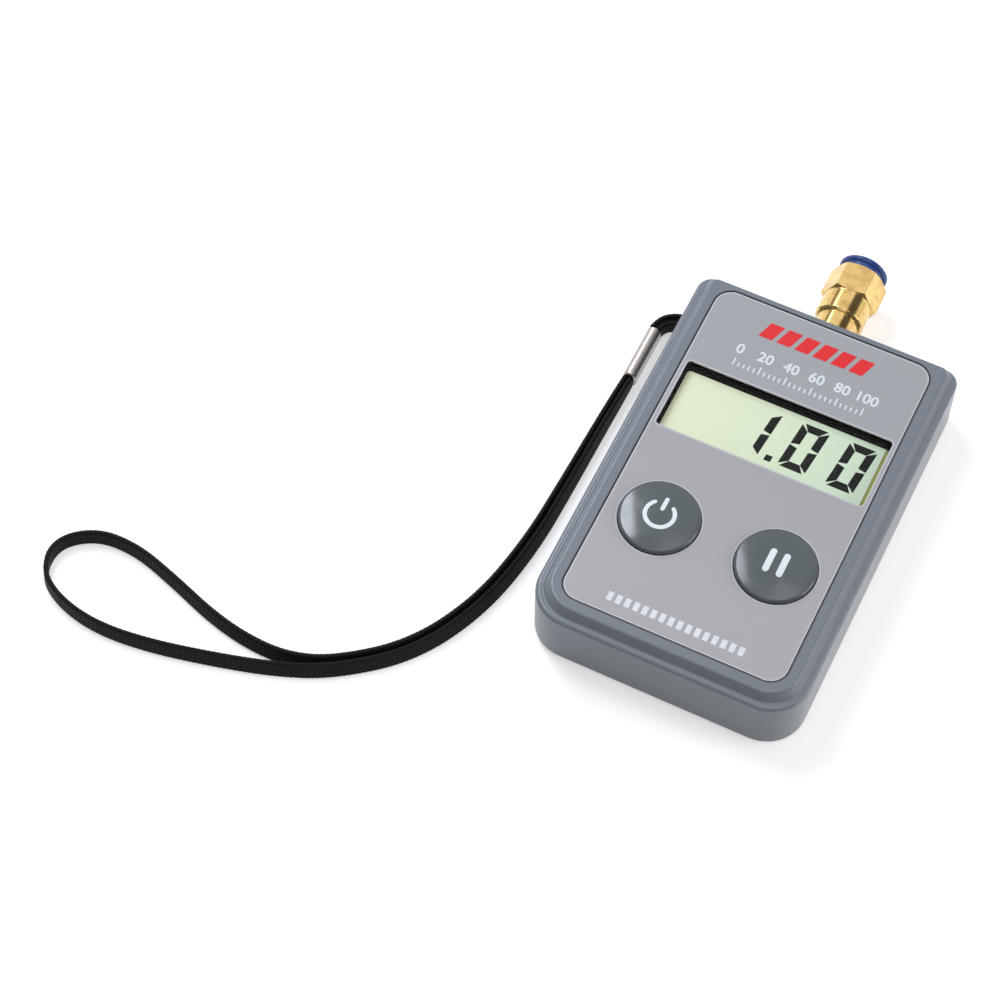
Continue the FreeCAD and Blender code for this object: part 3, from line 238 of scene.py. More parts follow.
def lettering(words: Sequence[tuple[str, float]], y: float, z: float, size: float,
              depth: float) -> bpy.types.Mesh:
    """Plain figures standing in a row, each centred on its own place, as one closed mesh.

    Args:
        words: the figures and the place of each along X.
        y: height of the row's middle along Y.
        z: level of the surface that they are printed on.
        size: size of the type.
        depth: thickness of the print.

    Returns:
        The mesh, in metres and in place.
    """
    whole = bmesh.new()
    for text, x in words:
        curve = bpy.data.curves.new("figures", "FONT")
        curve.body = text
        curve.size = size
        curve.extrude = depth / 2
        curve.offset = TYPE_BOLDENING * size
        flat = flattened(curve)
        corners = np.array([vertex.co for vertex in flat.vertices])
        middle = (corners.min(0) + corners.max(0)) / 2
        flat.transform(Matrix.Translation(Vector((x, y, z)) - Vector(middle)))
        whole.from_mesh(flat)
        bpy.data.meshes.remove(flat)
    bmesh.ops.remove_doubles(whole, verts=whole.verts, dist=size * TYPE_WELD)
    bmesh.ops.recalc_face_normals(whole, faces=whole.faces)
    bmesh.ops.scale(whole, vec=(MM, MM, MM), verts=whole.verts)
    mesh = bpy.data.meshes.new("scale_numbers")
    whole.to_mesh(mesh)
    whole.free()
    return mesh


def add_piece(name: str, mesh: bpy.types.Mesh, material: bpy.types.Material, body: str) -> bpy.types.Object:
    """Adds a finished piece, which rides on a body and takes its finish from a material slot."""
    piece = bpy.data.objects.new(name, mesh)
    bpy.context.scene.collection.objects.link(piece)
    mesh.materials.clear()
    mesh.materials.append(material)
    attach(piece, body)
    LOG.info("piece %s on %s, %d faces", name, body, len(mesh.polygons))
    return piece


# Shading

class Graph:
    """Short calls for adding nodes to one tree and joining them."""

    def __init__(self, tree: bpy.types.NodeTree) -> None:
        """Keeps the tree."""
        self.tree = tree

    def feed(self, socket: Socket, value: Feed) -> None:
        """Links a socket to another, or sets its own value."""
        if isinstance(value, Socket):
            self.tree.links.new(value, socket)
        else:
            socket.default_value = value

    def node(self, kind: str, feeds: Optional[dict] = None, **settings: object) -> bpy.types.Node:
        """Adds a node.

        Args:
            kind: the node's type without its common first part.
            feeds: values or sockets for its inputs, by name or number.
            settings: the node's own settings.

        Returns:
            The node.
        """
        made = self.tree.nodes.new("ShaderNode" + kind)
        for name, value in settings.items():
            setattr(made, name, value)
        for key, value in (feeds or {}).items():
            self.feed(made.inputs[key], value)
        return made

    def maths(self, operation: str, *terms: Feed, clamp: bool = False) -> Socket:
        """One step of arithmetic on numbers."""
        return self.node("Math", dict(enumerate(terms)), operation=operation, use_clamp=clamp).outputs[0]

    def vector(self, operation: str, *terms: Feed) -> Socket:
        """One step of arithmetic on vectors: the number where the step gives one."""
        made = self.node("VectorMath", dict(enumerate(terms)), operation=operation)
        return made.outputs["Value" if operation in ("LENGTH", "DOT_PRODUCT") else "Vector"]

    def blend(self, share: Feed, first: Feed, second: Feed) -> Socket:
        """A colour between two, by a share that changes over the surface."""
        return self.node("Mix", {0: share, 6: first, 7: second}, data_type="RGBA").outputs[2]

    def mix(self, share: Feed, first: bpy.types.Node, second: bpy.types.Node) -> bpy.types.Node:
        """One shader or the other, by a share."""
        return self.node("MixShader", {0: share, 1: first.outputs[0], 2: second.outputs[0]})

    def paint(self, shader: bpy.types.Node, colour: Feed, roughness: Feed,
              normal: Optional[Feed] = None) -> None:
        """Feeds a shader's colour, its roughness and, where there is one, its normal."""
        self.feed(shader.inputs["Base Color"], colour)
        self.feed(shader.inputs["Roughness"], roughness)
        if normal is not None:
            self.feed(shader.inputs["Normal"], normal)

    def split(self, value: Feed) -> Sequence[Socket]:
        """The three numbers of a vector."""
        return self.node("SeparateXYZ", {0: value}).outputs

    def between(self, value: Feed, low: Feed, high: Feed, to_low: float = 0.0,
                to_high: float = 1.0) -> Socket:
        """A value carried smoothly from one range to another and held at its ends."""
        feeds = {"Value": value, "From Min": low, "From Max": high, "To Min": to_low, "To Max": to_high}
        return self.node("MapRange", feeds, interpolation_type="SMOOTHSTEP").outputs[0]

    def step(self, value: Feed, edge: float, blur: float) -> Socket:
        """Nothing below an edge and one above it, with a blur to either side."""
        return self.between(value, edge - blur, edge + blur)

    def place(self) -> Socket:
        """The place on the piece, in millimetres."""
        return self.vector("MULTIPLY", self.node("TexCoord").outputs["Object"], (1 / MM,) * 3)

    def noise(self, place: Feed, scale: Feed, detail: float = 2.0, rough: float = 0.55) -> Socket:
        """Smooth random values about one half."""
        feeds = {"Vector": place, "Scale": scale, "Detail": detail, "Roughness": rough}
        return self.node("TexNoise", feeds).outputs[0]

    def bump(self, height: Feed, depth: float, strength: float = 1.0,
             normal: Optional[Feed] = None) -> Socket:
        """A normal tilted by a height of at most depth millimetres."""
        feeds = {"Height": height, "Distance": depth * MM, "Strength": strength}
        if normal is not None:
            feeds["Normal"] = normal
        return self.node("Bump", feeds).outputs[0]


class Effect(Enum):
    """Effects that more than one finish uses."""

    GRAIN = "moulded grain"
    WEAR = "edge wear"
    TURNING = "turning marks"
    SMUDGE = "handling smudge"
    FIELD = "rounded field"
    BRAID = "braided yarn"


class Effects:
    """Node groups for the shared effects, each built the first time it is placed."""

    mottle_cells: float = 40.0
    filaments: int = 10
    ripple_share: float = 0.16

    def __init__(self) -> None:
        """Starts with none."""
        self.trees: dict[Effect, bpy.types.NodeTree] = {}

    def start(self, effect: Effect, inputs: dict,
              outputs: Sequence[str]) -> tuple[Graph, bpy.types.Node, bpy.types.Node]:
        """Makes an empty group with its sockets.

        Args:
            effect: the effect.
            inputs: first values of the inputs, by name, each a number or a vector.
            outputs: names of the outputs; one that ends in Normal is a vector.

        Returns:
            The group's graph and its two end nodes.
        """
        tree = bpy.data.node_groups.new(effect.value, "ShaderNodeTree")
        for name, value in inputs.items():
            kind = "NodeSocketVector" if isinstance(value, tuple) else "NodeSocketFloat"
            tree.interface.new_socket(name, in_out="INPUT", socket_type=kind).default_value = value
        for name in outputs:
            kind = "NodeSocketVector" if name.endswith("Normal") else "NodeSocketFloat"
            tree.interface.new_socket(name, in_out="OUTPUT", socket_type=kind)
        self.trees[effect] = tree
        return Graph(tree), tree.nodes.new("NodeGroupInput"), tree.nodes.new("NodeGroupOutput")

    def grain(self) -> None:
        """Height is a fine noise of one cell size, and Mottle a broad one of many cells."""
        graph, given, out = self.start(Effect.GRAIN, {"Cell": 0.3}, ("Height", "Mottle"))
        place = graph.place()
        fine = graph.maths("DIVIDE", 1.0, given.outputs["Cell"])
        graph.feed(out.inputs["Height"], graph.noise(place, fine, 3.0, 0.6))
        broad = graph.maths("DIVIDE", fine, self.mottle_cells)
        graph.feed(out.inputs["Mottle"], graph.noise(place, broad, 3.0))

    def wear(self) -> None:
        """Mask is high where the rounded normal leaves the flat one, broken up by a noise."""
        graph, given, out = self.start(Effect.WEAR, {"Radius": 0.5, "Gain": 6.0}, ("Mask", "Soft Normal"))
        radius = graph.maths("MULTIPLY", given.outputs["Radius"], MM)
        rounded = graph.node("Bevel", {"Radius": radius}, samples=6).outputs[0]
        flat = graph.node("NewGeometry").outputs["Normal"]
        lean = graph.maths("SUBTRACT", 1.0, graph.vector("DOT_PRODUCT", rounded, flat))
        broken = graph.between(graph.noise(graph.place(), 0.45, 4.0, 0.65), 0.32, 0.68, 0.35, 1.0)
        strong = graph.maths("MULTIPLY", lean, given.outputs["Gain"], clamp=True)
        graph.feed(out.inputs["Mask"], graph.maths("MULTIPLY", strong, broken))
        graph.feed(out.inputs["Soft Normal"], rounded)

    def turning(self) -> None:
        """Height changes only along Y, as the rings that a lathe leaves, and Tone is broader."""
        graph, given, out = self.start(Effect.TURNING, {"Pitch": 0.12}, ("Height", "Tone"))
        place = graph.place()
        squeezed = graph.vector("MULTIPLY", place, (0.04, 1.0, 0.04))
        fine = graph.maths("DIVIDE", 1.0, given.outputs["Pitch"])
        graph.feed(out.inputs["Height"], graph.noise(squeezed, fine, 3.0, 0.7))
        graph.feed(out.inputs["Tone"], graph.noise(place, 0.35, 3.0))

    def smudge(self) -> None:
        """Mask marks soft patches where a hand has polished or dulled the surface."""
        graph, given, out = self.start(Effect.SMUDGE, {"Size": 14.0}, ("Mask",))
        scale = graph.maths("DIVIDE", 1.0, given.outputs["Size"])
        graph.feed(out.inputs["Mask"], graph.between(graph.noise(graph.place(), scale, 4.0, 0.6), 0.38, 0.66))

    def rounded_field(self) -> None:
        """Distance in plan to a rectangle with rounded corners, below zero inside it.

        With q the folded place less the half size plus the corner radius, it is the length of q's
        positive part plus the larger of its two values where both are below zero, less the radius.
        """
        inputs = {"Centre": (0.0, 0.0, 0.0), "Half": (10.0, 10.0, 0.0), "Corner": 1.0}
        graph, given, out = self.start(Effect.FIELD, inputs, ("Distance",))
        away = graph.vector("SUBTRACT", graph.place(), given.outputs["Centre"])
        flat = graph.vector("MULTIPLY", away, (1.0, 1.0, 0.0))
        corner = graph.node("CombineXYZ", {0: given.outputs["Corner"], 1: given.outputs["Corner"]}).outputs[0]
        inner = graph.vector("SUBTRACT", given.outputs["Half"], corner)
        q = graph.vector("SUBTRACT", graph.vector("ABSOLUTE", flat), inner)
        outside = graph.vector("LENGTH", graph.vector("MAXIMUM", q, (0.0, 0.0, 0.0)))
        parts = graph.split(q)
        inside = graph.maths("MINIMUM", graph.maths("MAXIMUM", parts[0], parts[1]), 0.0)
        whole = graph.maths("ADD", outside, inside)
        graph.feed(out.inputs["Distance"], graph.maths("SUBTRACT", whole, given.outputs["Corner"]))

    def braid(self) -> None:
        """Strands that cross on both diagonals of the UV map, one over one.

        With a and b the sum and the difference of U and V over the pitch, a strand of the first kind
        is on top where the whole parts of a and b add to an even number. Height is the half wave
        across the strand on top plus the ripple of its filaments, and Tone tells the two kinds apart.
        """
        graph, given, out = self.start(Effect.BRAID, {"Pitch": 1.2}, ("Height", "Tone"))
        uv = graph.split(graph.node("TexCoord").outputs["UV"])
        pitch = given.outputs["Pitch"]
        a = graph.maths("DIVIDE", graph.maths("ADD", uv[0], uv[1]), pitch)
        b = graph.maths("DIVIDE", graph.maths("SUBTRACT", uv[0], uv[1]), pitch)
        whole = graph.maths("ADD", graph.maths("FLOOR", a), graph.maths("FLOOR", b))
        kind = graph.maths("ABSOLUTE", graph.maths("MODULO", whole, 2.0))
        across_first = graph.maths("SINE", graph.maths("MULTIPLY", graph.maths("FRACT", b), math.pi))
        across_second = graph.maths("SINE", graph.maths("MULTIPLY", graph.maths("FRACT", a), math.pi))
        strands = []
        for ridge, crosswise in ((across_first, b), (across_second, a)):
            ripple = graph.maths("SINE", graph.maths("MULTIPLY", crosswise, math.pi * self.filaments))
            strands.append(graph.maths("MULTIPLY_ADD", ripple, self.ripple_share, ridge))
        feeds = {0: kind, 2: strands[0], 3: strands[1]}
        graph.feed(out.inputs["Height"], graph.node("Mix", feeds).outputs[0])
        graph.feed(out.inputs["Tone"], kind)

    def placed(self, graph: Graph, effect: Effect, **feeds: Feed) -> dict[str, Socket]:
        """Places an effect in a material.

        Args:
            graph: the material's graph.
            effect: which one.
            feeds: its inputs, by name in small letters.

        Returns:
            Its outputs by name.
        """
        makers = {
            Effect.GRAIN: self.grain, Effect.WEAR: self.wear, Effect.TURNING: self.turning,
            Effect.SMUDGE: self.smudge, Effect.FIELD: self.rounded_field, Effect.BRAID: self.braid,
        }
        if effect not in self.trees:
            makers[effect]()
        made = graph.tree.nodes.new("ShaderNodeGroup")
        made.node_tree = self.trees[effect]
        for name, value in feeds.items():
            graph.feed(made.inputs[name.capitalize()], value)
        return {output.name: output for output in made.outputs}

    def distance(self, graph: Graph, low: Vector, high: Vector, corner: float) -> Socket:
        """Distance in plan to the rounded rectangle between two corners, below zero inside it."""
        centre = (low + high) / 2
        half = (high - low) / 2
        feeds = {"centre": (*centre.xy, 0.0), "half": (*half.xy, 0.0), "corner": corner}
        return self.placed(graph, Effect.FIELD, **feeds)["Distance"]


EFFECTS = Effects()


@dataclass(frozen=True)
class Finish:
    """What every finish has: a name, a screen colour, a roughness, and how far the last two vary."""

    name: str
    colour: Colour
    roughness: float
    tones: ClassVar[tuple[float, float]] = (0.95, 1.05)
    spread: ClassVar[float] = 0.05

    def material(self) -> bpy.types.Material:
        """Makes the material and lets the finish dress its shader."""
        made = bpy.data.materials.new(self.name)
        made.use_nodes = True
        shader = made.node_tree.nodes["Principled BSDF"]
        shader.inputs["Roughness"].default_value = self.roughness
        self.dress(Graph(made.node_tree), shader)
        return made

    def dress(self, graph: Graph, shader: bpy.types.Node) -> None:
        """Sets the shader's sockets."""
        raise NotImplementedError

    def shades(self, graph: Graph, share: Feed) -> Socket:
        """The finish's colour, between the darker and the lighter of its tones."""
        dark, light = (linear(toned(self.colour, tone)) for tone in self.tones)
        return graph.blend(share, dark, light)

    def rougher(self, graph: Graph, share: Feed) -> Socket:
        """The finish's roughness, changed by up to its spread either way."""
        return graph.between(share, 0.0, 1.0, self.roughness - self.spread, self.roughness + self.spread)


@dataclass(frozen=True)
class CutEdge:
    """One rounded outline of a cut sheet: where it lies, its corner and the sheet's side of it."""

    low: Vector
    high: Vector
    corner: float
    sheet_outside: bool
    line: float = 0.34
    blur: float = 0.3

    def mask(self, graph: Graph) -> Socket:
        """High along the sheet's side of the outline."""
        distance = EFFECTS.distance(graph, self.low, self.high, self.corner)
        depth = distance if self.sheet_outside else graph.maths("MULTIPLY", distance, -1.0)
        return graph.between(depth, self.line * (1 - self.blur), self.line * (1 + self.blur), 1.0, 0.0)


@dataclass(frozen=True)
class MouldedPlastic(Finish):
    """Injection-moulded plastic: a spark-eroded grain, edges that handling has polished."""

    tones: ClassVar[tuple[float, float]] = (0.99, 1.01)
    spread: ClassVar[float] = 0.012
    cell: float = 0.22
    grain_depth: float = 0.012
    edge_radius: float = 0.35
    edge_tone: float = 1.1
    # A dark line painted just outside a cut edge: painted shade for the gap round the panel.
    painted_groove_shade: Optional[CutEdge] = None
    groove_shade_tone: float = 0.42

    def dress(self, graph: Graph, shader: bpy.types.Node) -> None:
        """Grain in the normal, mottle in the colour, worn edges in both, and a painted shade along a groove.
        """
        grain = EFFECTS.placed(graph, Effect.GRAIN, cell=self.cell)
        wear = EFFECTS.placed(graph, Effect.WEAR, radius=self.edge_radius)
        smudge = EFFECTS.placed(graph, Effect.SMUDGE)
        body = self.shades(graph, grain["Mottle"])
        edged = graph.blend(wear["Mask"], body, linear(toned(self.colour, self.edge_tone)))
        # Painted shade: the case is darkened in a line along the gap round the panel.
        if self.painted_groove_shade is not None:
            edged = graph.blend(self.painted_groove_shade.mask(graph), edged, linear(toned(self.colour, self.groove_shade_tone)))
        graph.paint(shader, edged, self.rougher(graph, smudge["Mask"]),
                    graph.bump(grain["Height"], self.grain_depth, normal=wear["Soft Normal"]))


@dataclass(frozen=True)
class GlossPlastic(Finish):
    """Polished plastic with a faint ripple and fingerprints in its shine."""

    tones: ClassVar[tuple[float, float]] = (0.97, 1.03)
    spread: ClassVar[float] = 0.04
    cell: float = 0.5
    ripple_depth: float = 0.002
    edge_radius: float = 0.15
    smudge_size: float = 6.0

    def dress(self, graph: Graph, shader: bpy.types.Node) -> None:
        """A broad mottle in the colour and soft patches in the roughness."""
        grain = EFFECTS.placed(graph, Effect.GRAIN, cell=self.cell)
        smudge = EFFECTS.placed(graph, Effect.SMUDGE, size=self.smudge_size)
        wear = EFFECTS.placed(graph, Effect.WEAR, radius=self.edge_radius)
        graph.paint(shader, self.shades(graph, grain["Mottle"]), self.rougher(graph, smudge["Mask"]),
                    graph.bump(grain["Height"], self.ripple_depth, normal=wear["Soft Normal"]))


@dataclass(frozen=True)
class PanelSheet(Finish):
    """Painted sheet with painted highlights as pale lines along its cut edges, round its outline and its
    openings.
    """

    edges: tuple[CutEdge, ...] = ()
    # The lighter colour towards the panel's foot is painted light; the given colour holds at the top.
    painted_light_colour: Colour = (170, 168, 173)
    flake_colour: Colour = (205, 206, 212)
    # Colour of the painted highlights along the cut edges.
    edge_highlight_colour: Colour = (190, 192, 198)
    painted_light_from: float = -38.0
    painted_light_to: float = 36.0
    smudge_share: float = 0.15
    flake_share: float = 0.16
    cell: float = 0.12
    grain_depth: float = 0.004
    smudge_size: float = 22.0

    def dress(self, graph: Graph, shader: bpy.types.Node) -> None:
        """Paint with a fine flake, a painted light that makes the panel lighter towards its foot, and painted
        highlights as pale lines along its cut edges.
        """
        grain = EFFECTS.placed(graph, Effect.GRAIN, cell=self.cell)
        smudge = EFFECTS.placed(graph, Effect.SMUDGE, size=self.smudge_size)
        lines = self.edges[0].mask(graph)
        for edge in self.edges[1:]:
            lines = graph.maths("MAXIMUM", lines, edge.mask(graph))
        # Painted light: from the top of the panel down to its foot the coat turns to the lighter colour, with
        # soft patches.
        y = graph.split(graph.place())[1]
        height = graph.between(y, self.painted_light_from, self.painted_light_to, 0.0, 1 - self.smudge_share)
        share = graph.maths("MULTIPLY_ADD", smudge["Mask"], self.smudge_share, height)
        coat = graph.blend(share, linear(self.painted_light_colour), linear(self.colour))
        flake = graph.between(grain["Height"], 0.55, 0.75, 0.0, self.flake_share)
        flaked = graph.blend(flake, coat, linear(self.flake_colour))
        # Painted highlight: pale lines along the cut edges round the panel, its window and the keys.
        graph.paint(shader, graph.blend(lines, flaked, linear(self.edge_highlight_colour)),
                    self.rougher(graph, smudge["Mask"]), graph.bump(grain["Height"], self.grain_depth))


@dataclass(frozen=True)
class ReflectiveScreen(Finish):
    """Pale display film with a black painted shade at its edges, for the bezel's dark wall and its shadow;
    short of the right-hand edge the bare glass shows.
    """

    right_colour: Colour = (216, 232, 210)
    strip_colour: Colour = (176, 176, 96)
    painted_shade_colour: Colour = (8, 8, 9)
    left_x: float = -25.0
    film_x: float = 24.0
    film_blur: float = 0.1
    open_low: Vector = Vector((-24.4, 4.9, 0.0))
    open_high: Vector = Vector((25.6, 23.0, 0.0))
    open_corner: float = 0.8
    open_blur: float = 0.04
    cell: float = 0.1
    speckle_share: float = 0.07
    speckle_tone: float = 0.7
    shine: float = 0.1

    def dress(self, graph: Graph, shader: bpy.types.Node) -> None:
        """A slow change from left to right, a fine speckle, the bare strip and the black painted shade at the
        edges.
        """
        grain = EFFECTS.placed(graph, Effect.GRAIN, cell=self.cell)
        x = graph.split(graph.place())[0]
        share = graph.between(x, self.left_x, self.film_x)
        film = graph.blend(share, linear(self.colour), linear(self.right_colour))
        speckle = graph.between(grain["Height"], 0.35, 0.65, 0.0, self.speckle_share)
        speckled = graph.blend(speckle, film, linear(toned(self.colour, self.speckle_tone)))
        strip = graph.step(x, self.film_x, self.film_blur)
        shown = graph.blend(strip, speckled, linear(self.strip_colour))
        # Painted shade: black outside a rounded field along the window's edges, where the bezel's wall shades
        # the film.
        distance = EFFECTS.distance(graph, self.open_low, self.open_high, self.open_corner)
        painted_edge_shade = graph.step(distance, 0.0, self.open_blur)
        shader.inputs["Specular IOR Level"].default_value = self.shine
        graph.paint(shader, graph.blend(painted_edge_shade, shown, linear(self.painted_shade_colour)),
                    self.rougher(graph, grain["Mottle"]))


@dataclass(frozen=True)
class ClearLens(Finish):
    """Clear coated lens that lets the studio's light straight through to the display."""

    spread: ClassVar[float] = 0.015
    index: float = 1.17
    smudge_size: float = 9.0

    def dress(self, graph: Graph, shader: bpy.types.Node) -> None:
        """Glass to the eye and in reflections, and plain transparency to shadow and diffuse rays."""
        smudge = EFFECTS.placed(graph, Effect.SMUDGE, size=self.smudge_size)
        shader.inputs["Transmission Weight"].default_value = 1.0
        shader.inputs["IOR"].default_value = self.index
        graph.paint(shader, linear(self.colour), self.rougher(graph, smudge["Mask"]))
        rays = graph.node("LightPath").outputs
        through = graph.maths("MAXIMUM", rays["Is Shadow Ray"], rays["Is Diffuse Ray"])
        mixed = graph.mix(through, shader, graph.node("BsdfTransparent"))
        output = graph.tree.nodes["Material Output"]
        graph.feed(output.inputs["Surface"], mixed.outputs[0])


@dataclass(frozen=True)
class TurnedMetal(Finish):
    """Metal turned about the fitting's axis: fine rings, polished edges, tarnish in patches."""

    tarnish: Colour = (150, 104, 52)
    tarnish_share: float = 0.35
    ring_depth: float = 0.004
    edge_radius: float = 0.25

    def dress(self, graph: Graph, shader: bpy.types.Node) -> None:
        """Rings in the normal, and tarnish that the edges have lost."""
        turning = EFFECTS.placed(graph, Effect.TURNING)
        wear = EFFECTS.placed(graph, Effect.WEAR, radius=self.edge_radius)
        shader.inputs["Metallic"].default_value = 1.0
        patch = graph.between(turning["Tone"], 0.4, 0.7, 0.0, self.tarnish_share)
        kept = graph.maths("MULTIPLY", patch, graph.maths("SUBTRACT", 1.0, wear["Mask"]))
        graph.paint(shader, graph.blend(kept, linear(self.colour), linear(self.tarnish)),
                    self.rougher(graph, turning["Tone"]),
                    graph.bump(turning["Height"], self.ring_depth, normal=wear["Soft Normal"]))


@dataclass(frozen=True)
class DrawnMetal(Finish):
    """Rolled or drawn metal with hair lines along one axis."""

    tones: ClassVar[tuple[float, float]] = (0.9, 1.08)
    spread: ClassVar[float] = 0.08
    stretch: tuple[float, float, float] = (1.0, 0.05, 1.0)
    line_depth: float = 0.004
    line_scale: float = 9.0
    edge_radius: float = 0.12

    def dress(self, graph: Graph, shader: bpy.types.Node) -> None:
        """Long thin lines in the normal and a mottle in colour and shine."""
        wear = EFFECTS.placed(graph, Effect.WEAR, radius=self.edge_radius)
        place = graph.vector("MULTIPLY", graph.place(), self.stretch)
        lines = graph.noise(place, self.line_scale, 3.0, 0.7)
        shader.inputs["Metallic"].default_value = 1.0
        graph.paint(shader, self.shades(graph, lines), self.rougher(graph, lines),
                    graph.bump(lines, self.line_depth, normal=wear["Soft Normal"]))


@dataclass(frozen=True)
class Rubber(Finish):
    """Matt rubber or silicone with a dusty bloom."""

    tones: ClassVar[tuple[float, float]] = (0.85, 1.2)
    spread: ClassVar[float] = 0.08
    cell: float = 0.3
    grain_depth: float = 0.01

    def dress(self, graph: Graph, shader: bpy.types.Node) -> None:
        """Bloom in the colour and a fine grain."""
        grain = EFFECTS.placed(graph, Effect.GRAIN, cell=self.cell)
        graph.paint(shader, self.shades(graph, grain["Mottle"]), self.rougher(graph, grain["Mottle"]),
                    graph.bump(grain["Height"], self.grain_depth))


@dataclass(frozen=True)
class PrintInk(Finish):
    """Screen-printed ink, a little uneven in tone."""

    tones: ClassVar[tuple[float, float]] = (0.93, 1.05)
    spread: ClassVar[float] = 0.06
    shine: float = 0.5
    cell: float = 0.16

    def dress(self, graph: Graph, shader: bpy.types.Node) -> None:
        """Pinholes and a slow change of tone, in equal shares."""
        shader.inputs["Specular IOR Level"].default_value = self.shine
        grain = EFFECTS.placed(graph, Effect.GRAIN, cell=self.cell)
        slow = graph.maths("MULTIPLY", grain["Mottle"], 0.5)
        tone = graph.maths("MULTIPLY_ADD", grain["Height"], 0.5, slow)
        graph.paint(shader, self.shades(graph, tone), self.rougher(graph, grain["Mottle"]))


@dataclass(frozen=True)
class SolderMask(Finish):
    """Circuit board: green mask over a mesh of copper tracks, bare laminate at its edges."""

    tones: ClassVar[tuple[float, float]] = (0.9, 1.1)
    track: float = 1.4
    track_tone: float = 1.5
    track_depth: float = 0.03
    cell: float = 0.4

    def dress(self, graph: Graph, shader: bpy.types.Node) -> None:
        """Tracks are the borders of a brick pattern, lighter and raised under the mask."""
        feeds = {
            "Vector": graph.place(), "Scale": 1.0 / self.track, "Mortar Size": 0.11, "Mortar Smooth": 0.2,
            "Brick Width": 1.9, "Row Height": 0.6,
        }
        tracks = graph.node("TexBrick", feeds).outputs["Fac"]
        grain = EFFECTS.placed(graph, Effect.GRAIN, cell=self.cell)
        mask = self.shades(graph, grain["Mottle"])
        graph.paint(shader, graph.blend(tracks, mask, linear(toned(self.colour, self.track_tone))),
                    self.rougher(graph, grain["Mottle"]), graph.bump(tracks, self.track_depth))


@dataclass(frozen=True)
class CellJacket(Finish):
    """Printed jacket of a dry cell: a coloured third at the nub's end and bare metal ends."""

    nub_side: int = 1
    nub_colour: Colour = (176, 112, 58)
    end_colour: Colour = (196, 196, 192)
    band_x: float = 8.5
    band_blur: float = 0.1
    jacket_x: float = 21.2
    jacket_blur: float = 0.05
    jacket_metal: float = 0.55
    cell: float = 0.3
    grain_depth: float = 0.003

    def dress(self, graph: Graph, shader: bpy.types.Node) -> None:
        """Fields of colour by place along the cell, and metal beyond the jacket's ends."""
        grain = EFFECTS.placed(graph, Effect.GRAIN, cell=self.cell)
        x = graph.split(graph.place())[0]
        towards = graph.maths("MULTIPLY", x, float(self.nub_side))
        band = graph.step(towards, self.band_x, self.band_blur)
        jacket = graph.blend(band, self.shades(graph, grain["Mottle"]), linear(self.nub_colour))
        bare = graph.step(graph.maths("ABSOLUTE", x), self.jacket_x, self.jacket_blur)
        graph.feed(shader.inputs["Metallic"], graph.between(bare, 0.0, 1.0, self.jacket_metal, 1.0))
        graph.paint(shader, graph.blend(bare, jacket, linear(self.end_colour)),
                    self.rougher(graph, grain["Mottle"]), graph.bump(grain["Height"], self.grain_depth))


@dataclass(frozen=True)
class BraidedCord(Finish):
    """Flat braided cord: two families of strands that shine along their filaments."""

    tones: ClassVar[tuple[float, float]] = (0.5, 2.0)
    spread: ClassVar[float] = 0.07
    pitch: float = 1.2
    relief: float = 0.05
    relief_strength: float = 0.8
    fluff_scale: float = 6.0
    shine: float = 0.17

    def dress(self, graph: Graph, shader: bpy.types.Node) -> None:
        """The braid's relief in the normal, with a painted highlight on the strands' crowns and painted shade
        between them.
        """
        braid = EFFECTS.placed(graph, Effect.BRAID, pitch=self.pitch)
        fluff = graph.noise(graph.place(), self.fluff_scale, 3.0, 0.7)
        # Painted highlight and shade: the strands' crowns are lighter and their dips darker, broken up by a
        # fluff noise.
        crown = graph.between(braid["Height"], 0.5, 1.1, 0.0, 0.8)
        lit = graph.maths("MULTIPLY", crown, graph.between(fluff, 0.3, 0.7, 0.4, 1.0))
        graph.paint(shader, self.shades(graph, lit), self.rougher(graph, braid["Tone"]),
                    graph.bump(braid["Height"], self.relief, self.relief_strength))
        shader.inputs["Specular IOR Level"].default_value = self.shine


# Sub-assemblies

class Gauge:
    """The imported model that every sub-assembly dresses and adds to."""

    def __init__(self) -> None:
        """Loads the frame."""
        self.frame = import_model()
        self.root = "gauge"
        self.cad_box = [list(corner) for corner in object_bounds()]

    def box(self, node: str) -> tuple[Vector, Vector]:
        """A node's lowest and highest corners, in millimetres."""
        low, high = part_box(node)
        return low / MM, high / MM

    def dress(self, finish: Finish, *nodes: str) -> None:
        """Gives nodes of the frame one finish."""
        material = finish.material()
        for name in nodes:
            node = self.frame["nodes"][name]
            if not node.material_slots:
                node.data.materials.append(material)
            for slot in node.material_slots:
                slot.material = material
            LOG.info("node %s has %s", name, material.name)


@dataclass
class Casing:
    """Front and rear mouldings, battery cover, screws and strap pin."""

    gauge: Gauge
    front_colour: Colour = (115, 122, 132)
    groove_shade_width: float = 0.42
    rear: Finish = MouldedPlastic("back_slate", (110, 117, 129), 0.46, cell=0.3, grain_depth=0.02)
    steel: Finish = DrawnMetal("zinc_steel", (178, 178, 180), 0.34, stretch=(0.3, 0.3, 1.0))

    def build(self) -> None:
        """Dresses the casing's nodes."""
        # The dark line round the panel on the front moulding is painted shade in the gap.
        painted_groove_shade = CutEdge(*self.gauge.box("face_panel"), PANEL_CORNER, True, self.groove_shade_width)
        front = MouldedPlastic("case_slate", self.front_colour, 0.3, edge_radius=0.2, painted_groove_shade=painted_groove_shade)
        self.gauge.dress(front, "front_shell")
        self.gauge.dress(self.rear, "rear_shell", "battery_cover")
        self.gauge.dress(self.steel, "case_screws", "board_screws", "strap_pin")


